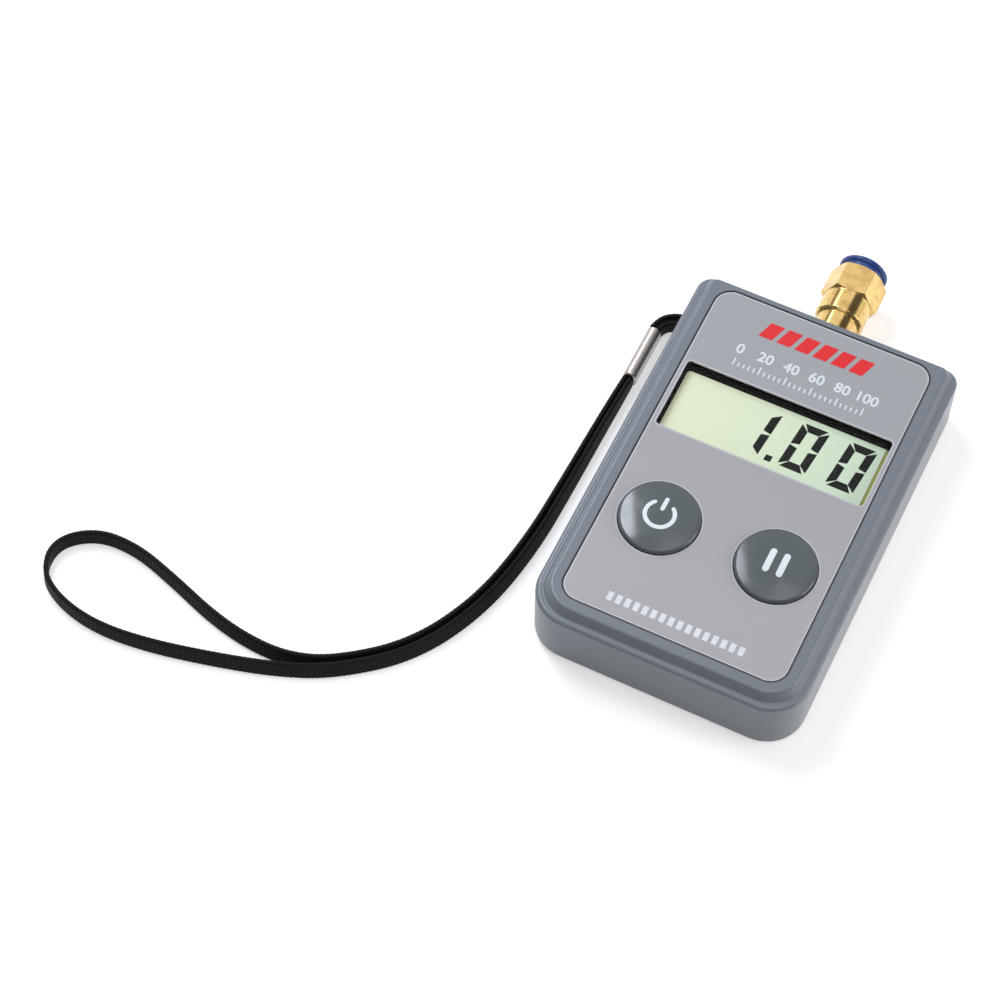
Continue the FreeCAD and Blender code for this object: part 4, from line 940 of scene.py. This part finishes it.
@dataclass
class FrontPanel:
    """Painted panel and its print: a red level mark, a pale scale and a pale row at the foot."""

    gauge: Gauge
    window_corner: float = 0.9
    bezel_rim: float = 2.3
    key_inset: float = 0.75
    # Width of the pale painted highlight round each key.
    key_highlight_width: float = 0.28
    ink_sink: float = 0.02
    ink_lift: float = 0.03
    level_blocks: int = 6
    level_half_width: float = 12.7
    level_gap: float = 1.1
    level_low: float = 37.1
    level_high: float = 41.5
    level_slant: float = 0.35
    scale_half_width: float = 15.6
    scale_top: int = 100
    scale_step: int = 20
    figures_y: float = 32.0
    figures_size: float = 3.7
    tick_foot: float = 27.2
    tick_heights: tuple[float, float] = (2.1, 1.2)
    tick_width: float = 0.34
    ticks_per_step: int = 5
    foot_y: float = -38.9
    foot_half_width: float = 15.4
    foot_marks: int = 16
    foot_height: float = 2.2
    foot_width: float = 1.25
    red: Finish = PrintInk("red_ink", (222, 22, 30), 0.5)
    pale: Finish = PrintInk("pale_ink", (222, 228, 236), 0.5)

    def cut_edges(self) -> tuple[CutEdge, ...]:
        """Where the pale painted highlights run: the panel's outline, its window and the holes round the
        keys.
        """
        low, high = self.gauge.box("face_panel")
        edges = [CutEdge(low, high, PANEL_CORNER, False)]
        inset = Vector((self.bezel_rim, self.bezel_rim, 0.0))
        low, high = self.gauge.box("display_bezel")
        edges.append(CutEdge(low + inset, high - inset, self.window_corner, True))
        for key in ("power_key", "hold_key"):
            low, high = self.gauge.box(key)
            flange = (high.x - low.x) / 2
            centre = Vector((low.x + flange, low.y + flange, 0.0))
            reach = Vector((1.0, 1.0, 0.0)) * (flange - self.key_inset)
            edges.append(CutEdge(centre - reach, centre + reach, reach.x, True, self.key_highlight_width))
        return tuple(edges)

    def level_mark(self, ground: float) -> Shell:
        """Equal blocks in a row, each a parallelogram whose top leans to the right by the slant."""
        pitch = (2 * self.level_half_width + self.level_gap) / self.level_blocks
        lean = self.level_slant * (self.level_high - self.level_low) / 2
        blocks = []
        for index in range(self.level_blocks):
            left = index * pitch - self.level_half_width
            right = left + pitch - self.level_gap
            corners = (
                (left - lean, self.level_low), (right - lean, self.level_low),
                (right + lean, self.level_high), (left + lean, self.level_high),
            )
            blocks.append(raised_plate(corners, ground, self.ink_sink, self.ink_lift))
        return Shell.joined(blocks)

    def bars(self, places: np.ndarray, width: float, low: float, heights: np.ndarray, ground: float) -> Shell:
        """Upright bars on one line, each of its own height."""
        shells = []
        for x, height in zip(places, heights):
            left, right, high = x - width / 2, x + width / 2, low + height
            corners = ((left, low), (right, low), (right, high), (left, high))
            shells.append(raised_plate(corners, ground, self.ink_sink, self.ink_lift))
        return Shell.joined(shells)

    def build(self) -> None:
        """Paints the panel and adds its print."""
        ground = self.gauge.box("face_panel")[1].z
        paint = PanelSheet("panel_grey", (158, 160, 165), 0.36, edges=self.cut_edges())
        self.gauge.dress(paint, "face_panel")
        red = self.red.material()
        pale = self.pale.material()
        root = self.gauge.root
        add_piece("level_mark", mesh_from("level_mark", self.level_mark(ground)), red, root)
        steps = self.scale_top // self.scale_step
        majors = np.linspace(-self.scale_half_width, self.scale_half_width, steps + 1)
        words = [(str(index * self.scale_step), x) for index, x in enumerate(majors)]
        figures = lettering(words, self.figures_y, ground + self.ink_lift / 2 - self.ink_sink / 2,
                            self.figures_size, self.ink_lift + self.ink_sink)
        add_piece("scale_numbers", figures, pale, root)
        count = steps * self.ticks_per_step + 1
        ticks = np.linspace(-self.scale_half_width, self.scale_half_width, count)
        heights = np.where(np.arange(count) % self.ticks_per_step == 0, *self.tick_heights)
        scale = self.bars(ticks, self.tick_width, self.tick_foot, heights, ground)
        add_piece("scale_ticks", mesh_from("scale_ticks", scale), pale, root)
        marks = np.linspace(-self.foot_half_width, self.foot_half_width, self.foot_marks)
        foot_low = self.foot_y - self.foot_height / 2
        row = self.bars(marks, self.foot_width, foot_low, np.full(self.foot_marks, self.foot_height), ground)
        add_piece("foot_marks", mesh_from("foot_marks", row), pale, root)


@dataclass
class Display:
    """Bezel, lens, display cell with its lit figures, holder and contact strip."""

    gauge: Gauge
    figure_half_width: float = 3.3
    figure_half_height: float = 6.35
    figure_y: float = 15.15
    figure_pitch: float = 11.46
    last_figure_x: float = 18.74
    slant: float = 0.1
    places: int = 3
    stroke: float = 1.95
    chamfer: float = 0.45
    joint_gap: float = 0.07
    middle_gap: float = 0.16
    notch: float = 0.42
    dot_x: float = 1.05
    dot_y: float = 9.4
    dot_half: float = 0.8
    sink: float = 0.02
    lift: float = 0.02
    black: Finish = PrintInk("bezel_black", (6, 6, 7), 0.6, shine=0.15)
    film: Finish = ReflectiveScreen("display_film", (236, 240, 210), 0.42)
    lens: Finish = ClearLens("clear_lens", (248, 252, 248), 0.015)
    white: Finish = MouldedPlastic("holder_white", (222, 222, 217), 0.5)
    zebra: Finish = Rubber("contact_rubber", (186, 168, 172), 0.7)
    lit: Finish = PrintInk("display_black", (5, 6, 6), 0.5, shine=0.1)

    def plate(self, x: float, corners: Sequence[tuple[float, float]], signs: tuple[int, int],
              ground: float) -> Shell:
        """One lit segment, mirrored about the figure's middle by its signs, leaning with the figure."""
        turned = [(signs[0] * across, signs[1] * along) for across, along in corners]
        if signs[0] * signs[1] < 0:
            turned.reverse()
        leaning = [(x + across + self.slant * along, self.figure_y + along) for across, along in turned]
        return raised_plate(leaning, ground, self.sink, self.lift)

    def figures(self, ground: float) -> Shell:
        """The reading: a one made of two bars, two noughts of six bars, and a dot.

        An upright bar is longer outside than inside: its inner edge stops one stroke short of the
        figure's end, where it meets the level bar on the slope, and a notch short of the middle.
        """
        a, b, stroke, gap = self.figure_half_width, self.figure_half_height, self.stroke, self.joint_gap
        middle = self.middle_gap
        upright = (
            (a - stroke, self.notch + middle), (a, middle), (a, b - self.chamfer), (a - stroke, b - stroke),
        )
        inner = a - stroke - gap
        outer = a - self.chamfer - gap
        level = ((-inner, b - stroke), (inner, b - stroke), (outer, b), (-outer, b))
        shells = []
        for place in range(self.places):
            x = self.last_figure_x - place * self.figure_pitch
            nought = place < self.places - 1
            sides = (1, -1) if nought else (1,)
            for up in (1, -1):
                shells += [self.plate(x, upright, (side, up), ground) for side in sides]
                if nought:
                    shells.append(self.plate(x, level, (1, up), ground))
        half = self.dot_half
        low = self.dot_y - self.figure_y - half
        dot = ((-half, low), (half, low), (half, low + 2 * half), (-half, low + 2 * half))
        shells.append(self.plate(self.dot_x - self.slant * (low + half), dot, (1, 1), ground))
        return Shell.joined(shells)

    def build(self) -> None:
        """Dresses the display's nodes and adds its reading."""
        self.gauge.dress(self.black, "display_bezel")
        self.gauge.dress(self.film, "lcd_cell")
        self.gauge.dress(self.lens, "display_window")
        self.gauge.dress(self.white, "lcd_holder")
        self.gauge.dress(self.zebra, "zebra_strip")
        top = self.gauge.box("lcd_cell")[1].z
        mesh = mesh_from("display_figures", self.figures(top))
        add_piece("display_figures", mesh, self.lit.material(), self.gauge.root)


@dataclass
class Keys:
    """Two domed keys with pale signs, and the plungers under them."""

    gauge: Gauge
    flange: float = 1.0
    crown: float = 1.1
    sink: float = 0.03
    lift: float = 0.03
    ring_radius: float = 3.3
    ring_stroke: float = 0.95
    ring_gap: float = 34.0
    stem_foot: float = 0.9
    stem_head: float = 4.6
    bar_height: float = 6.2
    bar_width: float = 1.45
    bar_spacing: float = 3.2
    stations: int = 49
    blunt: float = 0.15
    cap: Finish = GlossPlastic("key_grey", (82, 90, 94), 0.19)
    pale: Finish = PrintInk("key_sign_pale", (226, 236, 240), 0.45)
    red: Finish = GlossPlastic("plunger_red", (168, 52, 44), 0.35)

    def dome(self, node: str) -> tuple[np.ndarray, Ground]:
        """Middle of a key and the height of its crown.

        With r the radius at the rim and c the crown's rise, the sphere's radius R is (r² + c²) / 2c,
        and the height falls from the top by R less the root of R² less the squared distance in plan.
        """
        low, high = self.gauge.box(node)
        radius = (high.x - low.x) / 2 - self.flange
        sphere = (radius ** 2 + self.crown ** 2) / (2 * self.crown)
        middle = np.array([(low.x + high.x) / 2, low.y + self.flange + radius])
        top = high.z

        def height(x: np.ndarray, y: np.ndarray) -> np.ndarray:
            """Height of the crown over a point of the plan."""
            away = (x - middle[0]) ** 2 + (y - middle[1]) ** 2
            return top - sphere + np.sqrt(sphere ** 2 - away)

        return middle, height

    def line(self, path: np.ndarray, stroke: float, ground: Ground) -> Shell:
        """A stroke with half-round ends.

        With h half the stroke, the half width is the root of h² less the square of the distance past
        the point h short of each end. It is never less than the blunt share of h.
        """
        reach = np.concatenate([[0.0], np.cumsum(np.linalg.norm(np.diff(path, axis=0), axis=1))])
        half = stroke / 2
        past = np.maximum(0.0, half - np.minimum(reach, reach[-1] - reach))
        width = np.sqrt(np.maximum(half ** 2 - past ** 2, (self.blunt * half) ** 2))
        return raised_line(path, width, ground, self.sink, self.lift)

    def straight(self, start: Sequence[float], end: Sequence[float]) -> np.ndarray:
        """Evenly spaced points from one place to another."""
        share = np.linspace(0.0, 1.0, self.stations)[:, None]
        return np.asarray(start) * (1 - share) + np.asarray(end) * share

    def power_sign(self, middle: np.ndarray, ground: Ground) -> Shell:
        """A ring open at the top with an upright stroke in the opening."""
        angle = np.radians(np.linspace(90 + self.ring_gap, 450 - self.ring_gap, 3 * self.stations))
        ring = middle + self.ring_radius * np.stack([np.cos(angle), np.sin(angle)], axis=1)
        stem = self.straight(middle + (0.0, self.stem_foot), middle + (0.0, self.stem_head))
        return Shell.joined([self.line(path, self.ring_stroke, ground) for path in (ring, stem)])

    def hold_sign(self, middle: np.ndarray, ground: Ground) -> Shell:
        """Two upright strokes side by side."""
        strokes = []
        for side in (-1, 1):
            x = middle[0] + side * self.bar_spacing / 2
            path = self.straight((x, middle[1] - self.bar_height / 2), (x, middle[1] + self.bar_height / 2))
            strokes.append(self.line(path, self.bar_width, ground))
        return Shell.joined(strokes)

    def build(self) -> None:
        """Dresses the keys and adds a sign to each."""
        self.gauge.dress(self.cap, "power_key", "hold_key")
        self.gauge.dress(self.red, "power_plunger", "hold_plunger")
        pale = self.pale.material()
        for node, sign in (("power_key", self.power_sign), ("hold_key", self.hold_sign)):
            middle, ground = self.dome(node)
            name = node.split("_")[0] + "_sign"
            add_piece(name, mesh_from(name, sign(middle, ground)), pale, node)


@dataclass
class Fitting:
    """Push-in tube fitting: turned brass, navy release ring, collet and seals."""

    gauge: Gauge
    brass: Finish = TurnedMetal("turned_brass", (238, 203, 132), 0.13)
    navy: Finish = GlossPlastic("navy_ring", (44, 70, 136), 0.24)
    spring: Finish = DrawnMetal("spring_steel", (196, 193, 184), 0.26)
    nitrile: Finish = Rubber("black_nitrile", (26, 26, 27), 0.62)

    def build(self) -> None:
        """Dresses the fitting's nodes."""
        self.gauge.dress(self.brass, "fitting_body", "fitting_nut", "guide_ring")
        self.gauge.dress(self.navy, "release_ring")
        self.gauge.dress(self.spring, "grip_collet", "contact_link", "contact_positive", "contact_negative")
        self.gauge.dress(self.nitrile, "wall_seal", "tube_seal")


@dataclass
class Electronics:
    """Board and what it carries, the sensor and its tube, and the two cells."""

    gauge: Gauge
    board: Finish = SolderMask("green_mask", (24, 92, 56), 0.38)
    moulded: Finish = MouldedPlastic("part_black", (28, 28, 30), 0.5)
    can: Finish = DrawnMetal("crystal_can", (186, 186, 184), 0.24, stretch=(0.05, 1.0, 1.0))
    ceramic: Finish = MouldedPlastic("sensor_cream", (214, 208, 192), 0.45)
    silicone: Finish = Rubber("milky_silicone", (208, 208, 200), 0.42)

    def build(self) -> None:
        """Dresses the nodes inside the case."""
        self.gauge.dress(self.board, "circuit_board")
        self.gauge.dress(self.moulded, "power_switch", "hold_switch", "control_chip", "smoothing_capacitor")
        self.gauge.dress(self.can, "clock_crystal")
        self.gauge.dress(self.ceramic, "pressure_sensor")
        self.gauge.dress(self.silicone, "sensor_tube")
        for node, side in (("battery_cell_1", 1), ("battery_cell_2", -1)):
            jacket = CellJacket(node + "_jacket", (38, 46, 70), 0.32, nub_side=side)
            self.gauge.dress(jacket, node)


@dataclass
class Strap:
    """Braided wrist strap in a loop, its short end round the pin, and the crimped ferrule."""

    gauge: Gauge
    thickness: float = 1.2
    width: float = 4.2
    anchor_width: float = 4.0
    anchor_low: float = 1.1
    strands: int = 8
    relief: float = 0.09
    dive: float = 0.45
    spacing: float = 0.24
    corners: int = 40
    curve_steps: int = 40
    length: float = 363.0
    anchor_length: float = 30.0
    lean: float = 23.0
    yarn: Colour = (14, 13, 14)
    yarn_roughness: float = 0.6
    ferrule: Finish = DrawnMetal("crimped_metal", (186, 178, 172), 0.3, stretch=(1.0, 0.04, 1.0))
    route: tuple[tuple[float, float], ...] = (
        (-39.45, 22.8), (-39.9, 9.4), (-40.3, -8.6), (-41.0, -26.4), (-44.3, -44.9), (-52.6, -61.3),
        (-66.0, -72.4), (-75.7, -76.0), (-85.6, -76.0), (-95.8, -74.0), (-107.8, -69.8), (-119.0, -66.5),
        (-129.1, -66.9), (-136.3, -73.0), (-134.9, -81.3), (-127.0, -85.9), (-116.5, -87.6), (-104.1, -86.3),
        (-90.1, -83.1), (-77.0, -79.4), (-65.2, -74.2), (-51.2, -62.6), (-42.7, -45.6), (-39.3, -26.8),
        (-38.8, -8.6), (-38.6, 9.4), (-38.2, 22.8),
    )
    anchor_route: tuple[tuple[float, float], ...] = (
        (-39.4, 37.4), (-38.9, 40.2), (-36.0, 42.8), (-32.0, 43.6), (-27.62, 43.44), (-27.62, 40.16),
        (-31.4, 40.4), (-35.0, 40.9), (-37.2, 39.4), (-37.7, 37.4),
    )

    def centreline(self, route: Sequence[tuple[float, float]], height: float) -> np.ndarray:
        """The smooth line that the route's points control.

        Args:
            route: control points in plan.
            height: level of the band's middle.

        Returns:
            Points along the line in millimetres, evenly spaced.
        """
        curve = bpy.data.curves.new("route", "CURVE")
        curve.dimensions = "3D"
        curve.resolution_u = self.curve_steps
        spline = curve.splines.new("NURBS")
        spline.points.add(len(route) - 1)
        for point, (x, y) in zip(spline.points, route):
            point.co = (x * MM, y * MM, height * MM, 1.0)
        spline.order_u = 3
        spline.use_endpoint_u = True
        line = flattened(curve)
        points = np.array([vertex.co for vertex in line.vertices]) / MM
        bpy.data.meshes.remove(line)
        reach = np.concatenate([[0.0], np.cumsum(np.linalg.norm(np.diff(points, axis=0), axis=1))])
        wanted = np.linspace(0.0, reach[-1], int(reach[-1] / self.spacing) + 1)
        return np.stack([np.interp(wanted, reach, points[:, axis]) for axis in range(3)], axis=1)

    def section(self, width: float) -> tuple[np.ndarray, np.ndarray, float]:
        """Section of the band: two flat faces joined by half circles.

        Args:
            width: the band's width, which stands upright.

        Returns:
            Points as offsets sideways and upwards, their outward directions, and the way round.
        """
        radius = self.thickness / 2 - self.relief
        flat = width - self.thickness
        arc = math.pi * radius
        around = 2 * (flat + arc)
        way = np.arange(self.corners) / self.corners * around
        turned = np.mod(way, flat + arc)
        angle = np.clip((turned - flat) / radius, 0.0, math.pi)
        rise = np.minimum(turned, flat) - flat / 2
        sideways = np.cos(angle)
        upwards = np.sin(angle)
        sign = np.where(way < flat + arc, 1.0, -1.0)
        directions = np.stack([sideways * sign, upwards * sign], axis=1)
        points = np.stack([radius * sideways * sign, (rise + radius * upwards) * sign], axis=1)
        return points, directions, around

    def leaning(self, line: np.ndarray) -> tuple[np.ndarray, np.ndarray]:
        """How far the strap leans along its way, and its line once it rests on its lower edge.

        The lean is the limit times the signed root of the sine of the way over the whole way, so that
        both halves lean to the same side, and the strap stands upright at the ferrule and where the
        loop turns. The middle lies at half the flat times the lean's cosine, plus half the thickness.
        """
        wave = -np.sin(np.linspace(0.0, 2 * math.pi, len(line)))
        lean = math.radians(self.lean) * np.sign(wave) * np.sqrt(np.abs(wave))
        rested = line.copy()
        rested[:, 2] = (self.width - self.thickness) / 2 * np.cos(lean) + self.thickness / 2
        return lean, rested

    def band(self, name: str, line: np.ndarray, width: float,
             lean: np.ndarray) -> tuple[bpy.types.Mesh, float]:
        """A braided band along a line.

        The section is carried along the line, upright, and each point moves out by the braid's
        relief: with a and b the sum and the difference of the ways along and round over the pitch,
        the strand on top has the root of a half sine's height across it, less a dip where it dives.

        Args:
            name: the mesh's name.
            line: the band's middle line.
            width: the band's width.
            lean: turn of the section from upright at each point of the line, in radians.

        Returns:
            The mesh, and the pitch of its strands.
        """
        profile, directions, around = self.section(width)
        pitch = around / self.strands
        along = np.gradient(line, axis=0)[:, :2]
        along /= np.linalg.norm(along, axis=1, keepdims=True)
        across = np.column_stack([-along[:, 1], along[:, 0], np.zeros(len(line))])
        u = np.arange(len(line)) * np.linalg.norm(line[1] - line[0])
        v = np.arange(self.corners) / self.corners * around
        a = (u[:, None] + v[None, :]) / pitch
        b = (u[:, None] - v[None, :]) / pitch
        first_on_top = np.mod(np.floor(a) + np.floor(b), 2) == 0
        over = np.where(first_on_top, b, a) % 1.0
        under = np.where(first_on_top, a, b) % 1.0
        crown = 1 - self.dive + self.dive * np.sin(np.pi * under)
        rise = self.relief * np.sqrt(np.sin(np.pi * over)) * crown
        flat_side = profile[:, 0] + rise * directions[:, 0]
        tall_side = profile[:, 1] + rise * directions[:, 1]
        cosine, sine = np.cos(lean)[:, None], np.sin(lean)[:, None]
        sideways = flat_side * cosine + tall_side * sine
        upwards = tall_side * cosine - flat_side * sine
        points = line[:, None, :] + across[:, None, :] * sideways[..., None]
        points[..., 2] += upwards
        shell = Shell(points.reshape(-1, 3), tube_faces(len(line), self.corners))
        station, corner = np.meshgrid(np.arange(len(line) - 1), np.arange(self.corners), indexing="ij")
        station_steps = np.stack([station, station, station + 1, station + 1], axis=-1)
        corner_steps = np.stack([corner, corner + 1, corner + 1, corner], axis=-1)
        steps = (station_steps * (u[1] - u[0]), corner_steps * (around / self.corners))
        uv = np.stack(steps, axis=-1).reshape(-1, 2)
        ends = end_faces(len(line), self.corners)
        shell.faces = np.concatenate([shell.faces, ends])
        end_uv = np.stack([u[ends // self.corners], v[ends % self.corners]], axis=-1).reshape(-1, 2)
        return mesh_from(name, shell, np.concatenate([uv, end_uv]), smooth=True), pitch

    def weave(self, name: str, line: np.ndarray, width: float, lean: np.ndarray, yarn: str,
              node: str) -> bpy.types.Object:
        """Adds a braided band that takes the place of a plain node of the frame.

        Args:
            name: the piece's name.
            line: the band's middle line.
            width: the band's width.
            lean: turn of the section from upright at each point of the line, in radians.
            yarn: name of the band's material.
            node: the node that the band stands for.

        Returns:
            The piece.
        """
        mesh, pitch = self.band(name, line, width, lean)
        finish = BraidedCord(yarn, self.yarn, self.yarn_roughness, pitch=pitch)
        piece = add_piece(name, mesh, finish.material(), self.gauge.root)
        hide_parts(node)
        return piece

    def build(self) -> None:
        """Weaves both ends of the strap and dresses the ferrule."""
        self.gauge.dress(self.ferrule, "strap_ferrule")
        lean, line = self.leaning(self.centreline(self.route, self.width / 2))
        strap = self.weave("wrist_strap", line, self.width, lean, "black_braid", "hand_strap")
        short = self.centreline(self.anchor_route, self.anchor_low + self.anchor_width / 2)
        level = np.zeros(len(short))
        anchor = self.weave("strap_anchor", short, self.anchor_width, level, "anchor_braid", "anchor_loop")


@dataclass
class Softbox:
    """An oblong area light that looks at the gauge, its width turned from level by the roll."""

    name: str
    direction: tuple[float, float, float]
    watts: float
    width: float
    height: float
    tint: tuple[float, float, float] = (1.0, 0.97, 0.93)
    roll: float = 0.0
    distance: float = 700.0
    aim: tuple[float, float, float] = (-10.0, 0.0, 10.0)

    def build(self) -> None:
        """Adds the light."""
        light = bpy.data.lights.new(self.name, "AREA")
        light.energy = self.watts
        light.shape = "RECTANGLE"
        light.size = self.width * MM
        light.size_y = self.height * MM
        light.color = self.tint
        holder = bpy.data.objects.new(self.name, light)
        towards = Vector(self.direction).normalized()
        holder.location = (Vector(self.aim) + towards * self.distance) * MM
        holder.rotation_mode = "QUATERNION"
        roll = Quaternion((0.0, 0.0, 1.0), math.radians(self.roll))
        holder.rotation_quaternion = towards.to_track_quat("Z", "Y") @ roll
        bpy.context.scene.collection.objects.link(holder)


@dataclass
class Studio:
    """Camera, lights, pale floor and pale surroundings."""

    azimuth: float = 26.02
    elevation: float = 59.66
    eye: tuple[float, float, float] = (88.57, -306.06, 547.53)
    lens: float = 100.33
    sensor: float = 36.0
    nearest: float = 10.0
    farthest: float = 50000.0
    floor_side: float = 6000.0
    floor_tone: Colour = (222, 223, 225)
    floor_roughness: float = 0.9
    floor_shine: float = 0.1
    floor_glow: float = 0.5
    glow_near: float = 260.0
    glow_far: float = 900.0
    floor_drop: float = 0.05
    contact: float = 0.5
    ambient: float = 0.3
    below: float = 0.85
    ceiling: float = 0.85
    gap: float = 0.12
    front: float = 0.3
    horizon: tuple[float, float] = (-0.05, 0.0)
    wall_top: tuple[float, float] = (0.3, 0.42)
    ceiling_from: tuple[float, float] = (0.45, 0.58)
    ceiling_side: tuple[float, float] = (0.22, 0.36)
    front_side: tuple[float, float] = (-0.45, -0.05)
    boxes: tuple[Softbox, ...] = field(default_factory=lambda: (
        Softbox("window_light", (-0.53, 0.31, 0.79), 3.15, 480.0, 170.0, (0.88, 0.93, 1.0), 58.0),
        Softbox("top_light", (0.28, -0.05, 0.95), 0.8, 450.0, 450.0),
        Softbox("right_fill", (0.93, 0.15, 0.33), 2.0, 400.0, 400.0),
    ))

    def camera(self) -> None:
        """Puts the camera at the photograph's eye, level across and looking down along its axis."""
        turn, tilt = math.radians(self.azimuth), math.radians(self.elevation)
        back = Vector((math.sin(turn) * math.cos(tilt), -math.cos(turn) * math.cos(tilt), math.sin(tilt)))
        right = Vector((math.cos(turn), math.sin(turn), 0.0))
        up = back.cross(right)
        data = bpy.data.cameras.new("viewpoint")
        data.sensor_width = self.sensor
        data.lens = self.lens
        data.clip_start = self.nearest * MM
        data.clip_end = self.farthest * MM
        holder = bpy.data.objects.new("viewpoint", data)
        facing = Matrix((right, up, back)).transposed().to_4x4()
        holder.matrix_world = Matrix.Translation(Vector(self.eye) * MM) @ facing
        bpy.context.scene.collection.objects.link(holder)
        bpy.context.scene.camera = holder

    def floor(self) -> None:
        """A pale floor that shows white to the eye and keeps the gauge's soft shadow.

        It is clear to rays that meet it from below, and to those that leave the gauge's underside
        within the contact length, so that the back can be looked at from under the floor.
        """
        half = self.floor_side / 2
        corners = [(-half, -half), (half, -half), (half, half), (-half, half)]
        plane = Shell(np.array([(x, y, -self.floor_drop) for x, y in corners]), np.array([[0, 1, 2, 3]]))
        holder = bpy.data.objects.new("floor", mesh_from("floor", plane))
        bpy.context.scene.collection.objects.link(holder)
        material = bpy.data.materials.new("pale_floor")
        material.use_nodes = True
        graph = Graph(material.node_tree)
        shader = material.node_tree.nodes["Principled BSDF"]
        graph.paint(shader, linear(self.floor_tone), self.floor_roughness)
        shader.inputs["Specular IOR Level"].default_value = self.floor_shine
        rays = graph.node("LightPath").outputs
        seen = graph.maths("MAXIMUM", rays["Is Camera Ray"], rays["Is Glossy Ray"])
        shader.inputs["Emission Color"].default_value = linear(WHITE)
        away = graph.vector("LENGTH", graph.place())
        glow = graph.between(away, self.glow_near, self.glow_far, self.floor_glow, 1.0)
        graph.feed(shader.inputs["Emission Strength"], graph.maths("MULTIPLY", seen, glow))
        touching = graph.maths("LESS_THAN", rays["Ray Length"], self.contact * MM)
        under = graph.maths("MAXIMUM", graph.node("NewGeometry").outputs["Backfacing"], touching)
        sided = graph.mix(under, shader, graph.node("BsdfTransparent"))
        graph.feed(material.node_tree.nodes["Material Output"].inputs["Surface"], sided.outputs[0])
        holder.data.materials.append(material)
        holder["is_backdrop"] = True

    def surroundings(self) -> None:
        """White to the eye and through glass, a plain ambient level, and a studio for metal to show.

        The ambient level is higher below the horizon, where only the underside sees it.
        Reflections show white up to the top of the walls, a dark gap above it, a dim front wall, and the
        pale ceiling overhead, which stops at the dark right-hand side: all by the ray's direction.
        """
        world = bpy.data.worlds.new("surroundings")
        world.use_nodes = True
        bpy.context.scene.world = world
        graph = Graph(world.node_tree)
        rays = graph.node("LightPath").outputs
        seen = graph.maths("MAXIMUM", rays["Is Camera Ray"], rays["Is Transmission Ray"])
        shown = graph.node("Background", {0: linear(WHITE), 1: 1.0})
        towards = graph.split(graph.node("TexCoord").outputs["Generated"])
        low_level = graph.between(towards[2], *self.horizon, self.below, self.ambient)
        ambient = graph.node("Background", {0: linear(WHITE), 1: low_level})
        walls = graph.between(towards[2], *self.wall_top, 1.0 - self.gap, 0.0)
        overhead = graph.between(towards[2], *self.ceiling_from, 0.0, self.ceiling)
        ceiling = graph.maths("MULTIPLY", overhead, graph.between(towards[0], *self.ceiling_side, 1.0, 0.0))
        front = graph.between(towards[1], *self.front_side, self.front, 1.0)
        level = graph.maths("MULTIPLY_ADD", graph.maths("ADD", walls, self.gap), front, ceiling)
        studio = graph.node("Background", {0: linear(WHITE), 1: level})
        mixed = graph.mix(seen, graph.mix(rays["Is Glossy Ray"], ambient, studio), shown)
        graph.feed(world.node_tree.nodes["World Output"].inputs["Surface"], mixed.outputs[0])

    def build(self) -> None:
        """Sets the stage."""
        self.camera()
        self.floor()
        self.surroundings()
        for box in self.boxes:
            box.build()
        bpy.context.scene.view_settings.view_transform = "Standard"


def main() -> None:
    """Builds the studio and dresses the gauge, part by part."""
    logging.basicConfig(level=logging.INFO, format="%(message)s")
    gauge = Gauge()
    Studio().build()
    Strap(gauge).build()
    for part in (Casing, FrontPanel, Display, Keys, Fitting, Electronics):
        part(gauge).build()
        LOG.info("%s is dressed", part.__name__)


if __name__ == "__main__":
    main()
